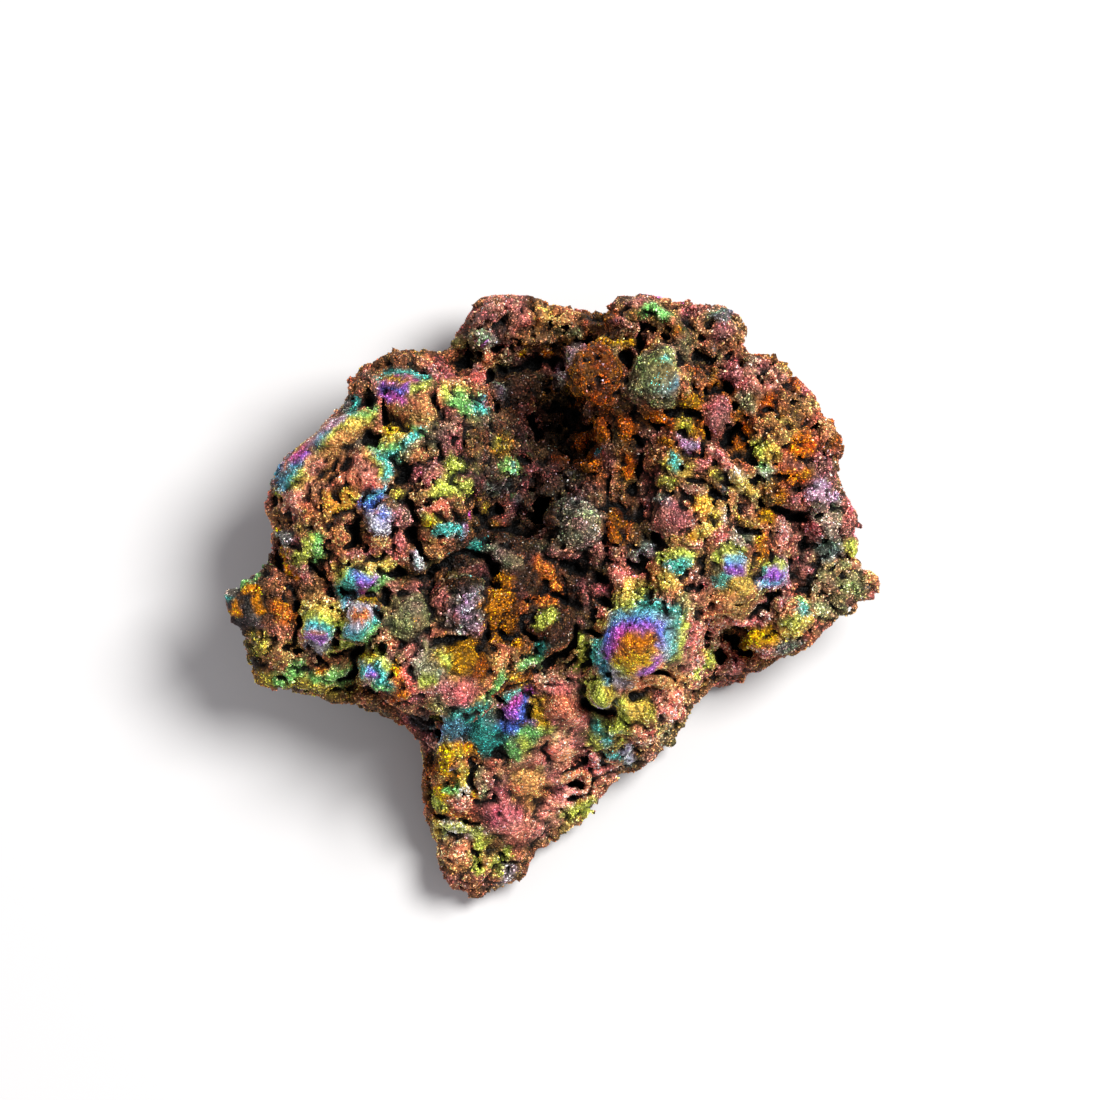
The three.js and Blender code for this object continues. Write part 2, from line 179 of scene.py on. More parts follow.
LUMPS = {  # by colour: x, y, half length, half width, turn, lift of the top
    "brown": [
        (-17.9, 27.9, 3.4, 1.2, -8, 0.9), (-22.9, 24.9, 1.3, 1.8, 30, 0.5),
        (-24.9, 14.8, 2.2, 1.2, 55, 0.3), (-31.5, 9.6, 1, 0.8, 0, 0.5), (-25.3, 4.3, 1, 0.9, 0, 0.4),
        (-26.2, 2.3, 1.6, 1.9, 0, 0.5), (-31.8, 1.8, 1.5, 1.7, 0, 0.6),
        (-30.3, -3.6, 1.1, 1.5, 0, 0.5), (-32.4, -4, 1.2, 1.6, 0, 0.5), (-29.6, -7, 1.2, 1.1, 0, 0.5),
        (-25.7, -7.3, 1.7, 1.2, -10, 0.6), (-20, -3.9, 0.5, 2, -20, 0.4),
        (-20, -12.2, 4.6, 1.1, -14, 0.2), (-12.3, 28.6, 0.8, 0.7, 0, 0.4),
        (-3.4, 29.9, 1.7, 1, 0, 0.6), (-1.3, 30.2, 1.4, 1.2, 0, 0.5), (-6.5, 20.4, 1.1, 0.9, 0, 0.5),
        (-8.6, 19, 1.1, 0.9, 0, 0.4), (-1.2, 17, 1.5, 1.2, 0, 0.6), (1.9, 19, 0.7, 0.7, 0, 0.5),
        (-0.6, 9.3, 0.9, 1, -20, 2.3), (1.6, 13, 1.5, 0.7, -10, 0.4), (5, 11.6, 1.3, 0.8, 0, 0.4),
        (17.8, 29.2, 1.1, 1, 0, 0.4), (21.3, 29.5, 1.5, 1, -30, 0.5), (17.3, 25, 1.1, 1.2, 0, 0.4),
        (11.4, 16, 1, 1.4, 0, 0.4), (26.9, 22.2, 1, 1.6, 0, 0.4), (17.3, -0.4, 0.7, 2, 5, 0.2),
        (-9.3, 9.4, 1.1, 0.9, 0, 0.3), (-12.6, 2.6, 1.8, 1.6, 0, 0.3), (-2.8, -1.8, 1, 1.8, 0, 0.4),
        (1.3, 2.8, 1, 1, 0, 0.3), (-9.4, -33.8, 0.9, 0.8, 0, 0.5),
    ],
    "salmon": [
        (-14.6, 27.4, 1.5, 0.7, -25, 0.5), (-22.7, 13.8, 1.3, 1.2, 0, 0.6),
        (-21.3, 14.9, 2, 2.5, 0, 0.8), (-19, -4.7, 0.9, 1.1, 0, 0.5),
        (-17.1, -8.7, 2.3, 0.65, -55, 0.7), (-7.8, 27.6, 1, 1.6, -40, 0.6),
        (-9, 25.1, 0.9, 1.3, 0, 0.5), (-11.4, 25.1, 1.6, 0.9, 0, 0.5),
        (-13.2, 23.2, 0.8, 1.3, 15, 0.4), (-5.5, 9.2, 0.6, 0.5, 0, 0.5),
        (-12.8, 10.6, 1.6, 1.3, 0, 0.7), (5.4, -1.4, 0.6, 0.6, 0, 0.4), (0.4, -12.2, 1.6, 1.5, 0, 0.6),
        (-10.9, -24.2, 1.4, 1.3, 0, 0.8),
    ],
    "mauve": [
        (-17.4, 24.9, 2.7, 1.5, 5, 0.5), (-29.7, 15.7, 3.4, 1.8, 52, 0.7),
        (-15.5, 14, 1.3, 1.2, 0, 0.5), (-17.4, 9.3, 1.3, 1.4, 0, 0.6), (-22.4, 5, 2.6, 0.8, 5, 0.4),
        (-19.3, -6.4, 1.2, 0.6, 40, 0.4), (-18.8, 1.5, 1.3, 0.9, 0, 0.5),
        (-16.3, 1.2, 1.4, 1.2, 0, 0.5), (-8.3, 32.7, 1.9, 1.2, 20, 0.7),
        (-9.4, 26.8, 0.8, 0.8, 0, 0.4), (-13.3, 26.3, 1.8, 1.2, -20, 0.5),
        (-11.6, 19, 2.1, 2.9, 0, 0.8), (-13.4, 14.8, 1.3, 1.2, 0, 0.5), (-9.6, 13.2, 1.8, 0.9, 0, 0.4),
        (6.6, 16.6, 0.8, 2.2, 8, 0.5), (-3.5, 13, 0.6, 0.7, 0, 0.4), (-4.5, 9.7, 0.5, 0.5, 0, 0.4),
        (6.3, 23.6, 0.8, 1.2, 0, 0.9), (8.6, 31.7, 2, 0.9, 0, 0.6), (9.7, 34.2, 1.4, 0.6, 0, 0.6),
        (16, 33.4, 1.4, 0.7, 0, 0.5), (19.8, 30.8, 1.6, 0.9, 0, 0.6), (20.6, 26.4, 1.3, 1.6, 0, 0.6),
        (18.8, 21.2, 1.3, 2.3, -10, 1.3), (17, 15.3, 1.3, 1, 0, 0.5), (29, 24.1, 0.7, 0.8, 0, 0.6),
        (31.2, 15.3, 1, 1.6, 0, 0.6), (13.8, 9.2, 2.2, 1.9, 0, 1.2), (16.3, 2.6, 0.9, 1.9, 10, 0.4),
        (15.6, -7.4, 1.9, 1.5, -30, 0.5), (26.5, -0.6, 1.2, 1, 0, 0.4), (34.2, 10.2, 1.4, 1.6, 0, 0.6),
        (29.8, 8.2, 1.2, 1.6, 0, 0.5), (29.6, 4.2, 1, 1.5, 0, 0.4), (-9.4, 3.2, 1.8, 0.9, -10, 0.5),
        (-12.6, -0.6, 1.6, 2.2, 10, 0.8), (-10.9, -2.4, 1, 1.3, 25, 1.5), (3.6, 0.2, 0.6, 1.7, 0, 0.6),
        (5.3, 1, 1, 0.9, 0, 0.5), (3.1, -2.7, 0.8, 0.8, 0, 0.6), (-4.4, -12.5, 1.7, 2, 0, 0.9),
        (-14.3, -16.6, 1, 1.4, 0, 0.4), (-6.3, -23.9, 1.6, 3.6, 0, 0.5),
        (-2.6, -18.6, 2.2, 1.1, 0, 0.5), (4.6, -18.6, 1, 1.8, 30, 0.5),
    ],
    "slate": [
        (-23.6, 22.3, 1, 1.9, 0, 0.4), (-20.7, 11.3, 1.3, 0.45, 35, 0.4), (-31, 7.2, 1, 0.9, 0, 0.8),
        (-34, -2.6, 0.8, 0.8, 0, 0.3), (-6.8, 13, 1.8, 1, 0, 0.4), (-6, 24.4, 1.2, 1.1, 0, 1),
        (-3.4, 11.2, 1, 1.1, 0, 0.4), (19.8, 33, 1.7, 1.6, 0, 0.8), (18.8, 13.1, 1.2, 0.8, 0, 0.4),
        (10.6, 5.4, 1.6, 1.3, 0, 0.6), (13, 11.2, 2, 0.7, -10, 0.4), (27.6, -5.6, 1.9, 0.9, 10, 0.5),
        (31.8, 5.8, 1.9, 1.9, 0, 0.6), (-11.3, -14.6, 1.9, 1.3, 0, 0.8), (-8, -15.6, 1.9, 2.7, 0, 0.8),
        (-4.4, -16.6, 1.6, 1.6, 0, 0.6),
    ],
    "tan": [
        (-23.8, 19.6, 4.4, 1.6, 22, 1.1), (-15.6, 21.8, 2.4, 2.3, 0, 1.1),
        (-14.9, 16.7, 1.4, 1, 0, 0.5), (-15.2, 12, 1.2, 1, 0, 0.5), (-20, 6.5, 1.4, 1.1, 0, 0.7),
        (-27, 9.4, 1.6, 1.6, 0, 0.4), (-24.5, 7.4, 1.2, 1.3, 0, 0.9), (-29, -4.9, 0.5, 1.3, 10, 0.4),
        (-26.8, 0, 1.6, 0.9, 0, 0.4), (-31.8, -7, 2, 1.6, 0, 0.6), (-0.5, 33.3, 1.4, 1.1, 0, 0.7),
        (1.7, 33, 1.4, 1.5, 0, 0.7), (-8.7, 16.9, 1, 0.9, 0, 0.5), (-9.1, 15, 1.1, 0.9, 0, 0.5),
        (7.3, 34, 0.6, 0.6, 0, 0.8), (13.2, 34.6, 0.8, 0.5, 0, 0.8), (12, 29.3, 1.1, 0.8, 0, 0.4),
        (26.7, 27, 0.9, 0.8, 0, 0.6), (15, 25.2, 0.9, 2.2, 10, 0.6), (26, 19.5, 1.9, 2.2, 20, 0.8),
        (23.8, 19.5, 1, 0.8, 0, 0.5), (29.2, 22.6, 1.8, 1.7, -30, 0.7),
        (31.5, 19.6, 1.2, 1.7, -40, 0.8), (12.5, 2.2, 2.4, 1.8, -30, 0.5), (20.5, 3.7, 2.1, 2, 0, 0.9),
        (22.3, 1.3, 1.7, 1.2, 0, 0.7), (20.8, -1.4, 3.2, 2, 10, 0.8), (28.4, -2, 1.5, 2.2, 10, 0.8),
        (37.2, 2.6, 1.2, 1, 20, 0.3), (-10.5, 10.8, 0.8, 1.3, 0, 0.5), (-12.9, 5.8, 1.5, 0.9, 0, 0.5),
        (8.8, 0.4, 1.6, 1.4, 0, 0.5), (9.4, -4.9, 4.8, 4.6, 0, 1), (-6, -6.9, 1.3, 1.5, 0, 0.5),
        (-7.7, -9.3, 1, 0.8, 30, 0.4), (9.4, -9.7, 1.2, 1, 0, 0.5), (12, -9.5, 1.5, 1.2, 0, 0.5),
        (-13.7, -20.7, 0.7, 0.6, 0, 0.5), (-11.6, -30.1, 2.6, 1.9, -40, 0.7),
        (-14.1, -27.2, 0.6, 0.7, 0, 0.5), (-7.4, -31, 1.2, 1.9, 10, 0.5),
        (-2.8, -22, 2.4, 2.2, 0, 0.5), (2.6, -20.5, 1.5, 0.8, 0, 0.4),
    ],
    "grey": [
        (-22, 18.4, 1.8, 0.7, 25, 0.3), (-18.2, 18.2, 2.3, 1.6, 10, 0.8),
        (-15.7, 18.4, 2.2, 0.8, 45, 0.5), (-22.2, 2.2, 3.2, 1.6, 5, 0.7),
        (-22.2, -2.9, 2, 2.9, 15, 0.9), (-20.6, -8, 1.9, 1.8, -20, 0.9),
        (-8.6, 30.2, 1.8, 1.5, 0, 0.8), (2, 11.2, 1.3, 1.1, 0, 0.6), (19.7, 9.3, 0.8, 1.3, 0, 0.6),
        (21.9, 7, 1.2, 1.2, 0, 0.5), (31.9, 9.8, 2, 2, 0, 0.6), (-12.6, 7.8, 1.8, 0.8, 5, 0.5),
        (-8.8, 6, 1, 0.4, 5, 0.4), (-5.6, 4.6, 2.6, 1.2, -35, 0.8), (-11.2, 0.2, 1.1, 0.8, -30, 1.3),
        (3.3, 8.2, 2.8, 2.7, 0, 1.4), (-2.2, -7.3, 1.5, 0.9, 0, 0.6), (-13.9, -7.4, 2.3, 2.9, 10, 0.8),
        (-5.9, -8.7, 0.9, 0.6, 30, 0.4),
    ],
    "pink": [
        (-27.3, 14.7, 1.8, 0.8, 45, 0.5), (-29.9, 11.6, 2.3, 1, 55, 0.7),
        (-18.7, 13.3, 0.6, 0.8, 0, 0.4), (-29.2, 3.5, 1.2, 1, 0, 0.5), (-17.6, 6.4, 0.9, 0.9, 0, 0.5),
        (-18.3, 4.8, 1.4, 1, 0, 0.5), (-5.8, 34.5, 2.5, 1.4, 10, 0.8),
        (-3.9, 33.1, 2.2, 1.2, -20, 0.6), (-5, 30.8, 0.8, 0.7, 0, 0.5),
        (7.2, 13.2, 0.4, 0.9, -10, 0.5), (23.3, 26.9, 1.1, 1.3, 0, 0.6),
        (25.6, 25.9, 1.3, 1.9, 20, 0.8), (23.2, 24.6, 1.8, 1, -25, 0.7),
        (19, 16.8, 1.6, 0.8, -35, 1.1), (19.9, 15.5, 1.4, 0.9, -55, 1.2),
        (16.2, 12.7, 1.6, 0.6, -10, 0.5), (16, 6.2, 1.6, 0.6, 5, 0.5), (19.3, 7, 1.4, 1.3, 0, 0.7),
        (10, 2.2, 1.4, 1.6, 0, 0.5), (27, 8, 1, 1.8, 10, 0.4), (14.8, -4.2, 2.4, 2.4, 0, 0.6),
        (24, -2.6, 2, 0.8, 5, 0.5), (25, -6.5, 1.6, 0.7, 5, 0.5), (21, -7.8, 2.3, 1.2, 5, 0.5),
        (1.7, 5.1, 1.9, 0.9, -10, 0.6), (5.2, 5.2, 1, 1.8, 0, 0.8), (7.7, 2.6, 1.6, 1, -45, 0.6),
        (-11.4, -10.6, 3.6, 1.9, -15, 0.9), (0, -9.7, 2.2, 1.4, 0, 0.5), (3.3, -9.2, 1.2, 1.3, 0, 0.4),
        (2.6, -14, 1.5, 1.3, 20, 0.6), (13.3, -12.4, 2, 1.8, 0, 0.5), (11, -16.4, 1.8, 0.9, 20, 0.4),
        (-3.8, -26.9, 2.8, 1.8, -20, 0.5), (0.2, -25, 2.2, 1.6, 30, 0.4), (0.8, -17, 1.6, 2.2, 0, 0.5),
        (6.4, -20, 1.6, 0.8, 25, 0.3),
    ],
    "gold": [
        (-17.8, 11.7, 0.9, 0.7, 0, 0.6), (-24.6, 11.3, 2.6, 1.4, 10, 0.6),
        (-6.2, 18.2, 1.3, 1.5, 0, 0.5), (-7.7, 10.3, 0.5, 0.5, 0, 0.5), (-6.8, 8.9, 0.5, 0.5, 0, 0.5),
        (17.5, 10.5, 1.4, 2, 0, 0.7), (18.3, -6.6, 0.6, 1.2, 10, 0.6), (-14.6, 8.9, 0.9, 1.1, 0, 0.5),
        (6.1, -2.5, 0.9, 0.8, 0, 0.6), (3.3, -6.2, 0.55, 1.9, 0, 0.5),
        (-4.3, -9.2, 1.6, 0.8, -20, 0.5), (-11, -17.3, 1.9, 1, -35, 0.6),
        (-10.4, -20.6, 0.7, 1.6, -15, 0.7),
    ],
    "pearl": [
        (-19.9, 8.9, 1.1, 1.7, 0, 0.9), (-15.4, 4.5, 0.7, 1.4, 0, 0.8), (8.5, -18.2, 0.8, 0.8, 0, 0.6),
    ],
    "olive": [
        (-31.6, 12.9, 0.9, 0.9, 0, 0.4), (-29.3, 8, 0.9, 0.8, 0, 0.3), (-28.9, 5.2, 1.2, 1, 0, 0.5),
        (-27.1, 6, 0.9, 1.4, 20, 0.6), (-27.2, -3.4, 1.9, 2.6, 0, 0.7),
        (-34.3, -5.2, 1.3, 1.4, 0, 0.5), (-33.2, -8.9, 1.4, 0.9, -20, 0.4),
        (-30.2, -9.4, 1.6, 0.9, 0, 0.5), (-27.9, -10, 1.8, 1, 0, 0.6),
        (-25.8, -9.1, 1.3, 0.9, 10, 0.6), (-5.2, 15.3, 1.1, 1.2, 0, 0.6),
        (-11.3, 15.3, 1.2, 0.8, 0, 0.5), (14.9, 20.3, 1.2, 1.2, 0, 0.5),
        (13.6, 15.8, 1.1, 1.5, -20, 0.5), (24.6, 17, 1.2, 1.5, -40, 0.4),
        (19, 14.4, 0.9, 1.4, -35, 0.3), (13.6, 13.4, 1.4, 0.8, 0, 0.6), (14.6, 4.3, 2.4, 1.2, 15, 0.6),
        (34.6, 6.2, 1.3, 1, 0, 0.5), (-12.8, 12.4, 1.8, 0.8, -10, 0.5), (-0.8, -2.3, 1, 1, 0, 0.5),
        (5.6, -10.9, 1.8, 1.8, 0, 0.9), (9.8, -13.2, 2.4, 2, 0, 0.6), (6.2, -15.9, 2.2, 1.6, 0, 0.6),
        (-13.3, -24.2, 0.9, 1.4, 10, 0.5), (3, -24.6, 1.8, 0.7, 35, 0.3), (-8.3, -29, 1, 1.2, 0, 0.4),
    ],
    "ochre": [
        (-21.5, -0.1, 1.9, 0.45, -15, 0.4), (7, 29.6, 2.6, 1, 0, 0.6), (14.8, 31.1, 0.9, 0.9, 0, 0.4),
        (16.6, 22.6, 1.3, 1, 0, 0.5), (16.3, 19.1, 1.3, 0.8, -30, 0.5),
        (12.9, 17.6, 1.6, 0.6, -30, 0.5), (15.8, 7.2, 2.6, 0.6, 5, 0.4),
        (23.8, 5.9, 1.3, 2.2, 10, 0.6), (24, 9.3, 2.2, 0.9, 0, 0.5), (23.7, -4.8, 1.8, 1.2, 0, 0.6),
        (-12.3, -19, 1.3, 1.2, 0, 0.6),
    ],
    "rust": [
        (-31, -1.2, 1.6, 1, 15, 0.6), (-27.6, -8.3, 1.1, 0.8, 0, 0.5), (-17.6, -11, 1.2, 1, 0, 0.5),
        (-0.3, 28.6, 1.5, 0.6, 0, 0.4), (1, 16.2, 1, 0.6, -15, 0.5), (3.4, 18.6, 1.3, 0.9, 25, 1.5),
        (5.6, 19.2, 0.9, 1.4, 0, 1.1), (4.1, 16, 1.5, 1.2, 0, 0.6), (8.6, 15.3, 1, 1.8, 0, 0.5),
        (19, 24, 1, 1.3, 0, 0.5), (28.6, 17.8, 1.7, 1.6, 0, 0.6), (27.9, 13.8, 1.8, 1.3, 20, 0.7),
        (25.4, 11.9, 1.9, 0.8, 15, 0.6), (8.6, 19.8, 0.9, 1.3, 0, 0.4), (11.6, 21.2, 1.4, 1, 0, 0.4),
        (21.8, 18.9, 0.8, 1.2, 0, 0.4), (-6, 1.9, 0.9, 0.7, 0, 0.5), (-0.3, 2.4, 2.6, 0.7, -52, 0.7),
        (-1.2, -0.1, 1.5, 0.6, 5, 0.5), (-13.4, -22.2, 0.9, 0.6, 0, 0.5),
    ],
    "dark": [
        (-34.6, -7.4, 0.9, 0.9, 0, 0.4), (-35.9, -1, 2.6, 1.7, -50, 0.3),
        (-15.2, -14.2, 2.2, 1.2, -25, 0.3),
    ],
    "moss": [
        (-16.6, -1.9, 2.8, 3, 0, 1), (-11.1, 29.9, 0.9, 0.9, 0, 0.7), (2.5, 31.4, 1.4, 1.1, 0, 0.5),
        (-10.6, 22.9, 2.2, 1.1, -35, 0.5), (-8.6, 21.3, 1.3, 1.3, 0, 0.5),
        (11.9, 25.6, 3, 3.4, 0, 2.4), (12.4, 33.2, 2.4, 0.9, -15, 0.7), (22.2, 22.7, 1.4, 1.6, 0, 0.5),
        (15.2, -0.9, 1.4, 2, 20, 0.5), (31.8, 2.4, 1.6, 2, 0, 0.6), (33.8, 1.4, 1.6, 1.3, 0, 0.4),
        (35.6, 1.7, 2.2, 1.4, 15, 0.4), (31, -1.6, 1.4, 1.6, 20, 0.5), (34, 3.6, 1.2, 0.7, 10, 0.3),
        (4.8, -6.6, 0.7, 1.8, 0, 0.3), (-7.5, -12.4, 1.2, 1, 0, 0.4), (-8.3, -21.8, 0.8, 2.2, 0, 0.4),
    ],
    "umber": [
        (-3.3, 24.5, 2.2, 2.5, 0, 0.7), (3.8, 21.6, 1.2, 1.6, 20, 1.6), (0.2, 21.2, 1.3, 1, -20, 1.4),
        (1.2, 23.8, 1.4, 0.8, 10, 1.2), (-0.2, 18.8, 1.1, 1.3, 0, 1), (-1.3, 12.8, 1.5, 1.1, 10, 1.9),
        (0, 10.6, 0.9, 1.3, 0, 1.4), (-2.3, 10.9, 0.9, 1.1, 20, 2.6), (-5.8, 7, 2.4, 0.9, 0, 0.4),
        (-2.9, 6.6, 1.5, 1.4, 30, 0.4), (-10.6, 2, 2.4, 1.1, 10, 0.6), (-3, 2.6, 1.5, 1.5, 0, 0.4),
        (0.7, -4, 1.3, 2.3, -25, 0.7),
    ],
    "sienna": [
        (5, 25.8, 3.3, 4, 0, 1.6), (-5.8, -1.6, 1.7, 3.1, 0, 0.7), (7.5, 8, 1.5, 2.2, 10, 0.6),
        (-3.6, -5.4, 1.3, 1.2, 0, 0.5), (-10, -7.3, 2.7, 2.2, 0, 0.8),
    ],
    "lilac": [
        (15.6, 17.8, 1.6, 0.5, -25, 0.5), (31.5, 12.2, 1.8, 1.3, 0, 0.6),
        (26, 3.2, 1.7, 1.9, -20, 0.8),
    ],
    "cream": [
        (21.4, 13.9, 1.3, 1.1, -35, 1.2), (24.2, 14.3, 1, 1.1, 0, 0.9),
        (-10.2, -22.2, 0.9, 0.8, 0, 0.7), (-10.9, -27.1, 2.8, 0.9, -8, 0.7),
    ],
    "silver": [
        (-9.9, -1.7, 2.5, 3, -15, 1.2), (-9.2, -0.3, 1.2, 0.9, 20, 1.6), (-8.8, -2.9, 1, 1.3, 0, 1.5),
        (-10.2, -4, 1.2, 0.7, 10, 1), (-5.6, -32.2, 0.9, 1.4, -25, 0.5),
    ],
}

RIMS = [  # narrow raised rims and folds: half width, lift, colour, points along it
    (0.5, 0.9, "mauve", (-21.4, 26.2), (-20.6, 25.4), (-20.3, 24.2), (-19.8, 22.9), (-19.5, 21.4),
     (-19.7, 19.8)),
    (0.5, 0.6, "tan", (-18.9, 22.4), (-17.6, 23.3), (-16.2, 24.2), (-14.9, 24.8)),
    (0.5, 0.8, "tan", (-26.6, 20), (-25.2, 20.4), (-23.8, 20.5), (-22.4, 20.8), (-20.8, 21.8)),
    (0.5, 0.8, "salmon", (-22.9, 17), (-21.4, 17.2), (-19.9, 16.5), (-19.1, 15.2), (-19.1, 13.8),
     (-19.9, 12.6)),
    (0.35, 0.4, "pink", (-31, 12.9), (-29.7, 14), (-28.3, 15.2), (-27, 16.8)),
    (0.3, 0.4, "olive", (-14.2, -12.4), (-12.9, -13.1), (-11.4, -13.2), (-9.6, -12.4), (-7.6, -11),
     (-6.2, -9.9)),
    (0.45, 1, "silver", (1, 25.2), (1.1, 26.8), (1.8, 28.3), (3.2, 29.6)),
    (0.35, 0.4, "grey", (-38, 0.3), (-36.4, 1.6), (-34.6, 3.2), (-33, 4.6)),
    (0.3, 0.6, "tan", (1.1, -21.3), (1.6, -20.5), (2.8, -20.1), (3.9, -20.5), (4.4, -21.5)),
    (0.3, 0.5, "pink", (1.2, -23.6), (2.4, -22.9), (3.8, -22.3), (5.3, -22.2)),
    (0.45, 0.6, "pink", (18.4, -3.5), (20.4, -3.3), (22.2, -2.8), (23.6, -1.6), (24.9, -0.2)),
    (0.4, 0.5, "tan", (-6.8, -4.7), (-5.6, -5.6), (-4.4, -6.2), (-3.6, -7.4)),
    (0.4, 0.5, "brown", (-20.2, -1.9), (-19.8, -3.2), (-20.6, -5.2)),
    (0.35, 0.5, "pink", (-24.3, 4.1), (-22.4, 4.3), (-20.4, 4.2), (-18.6, 4.2)),
]

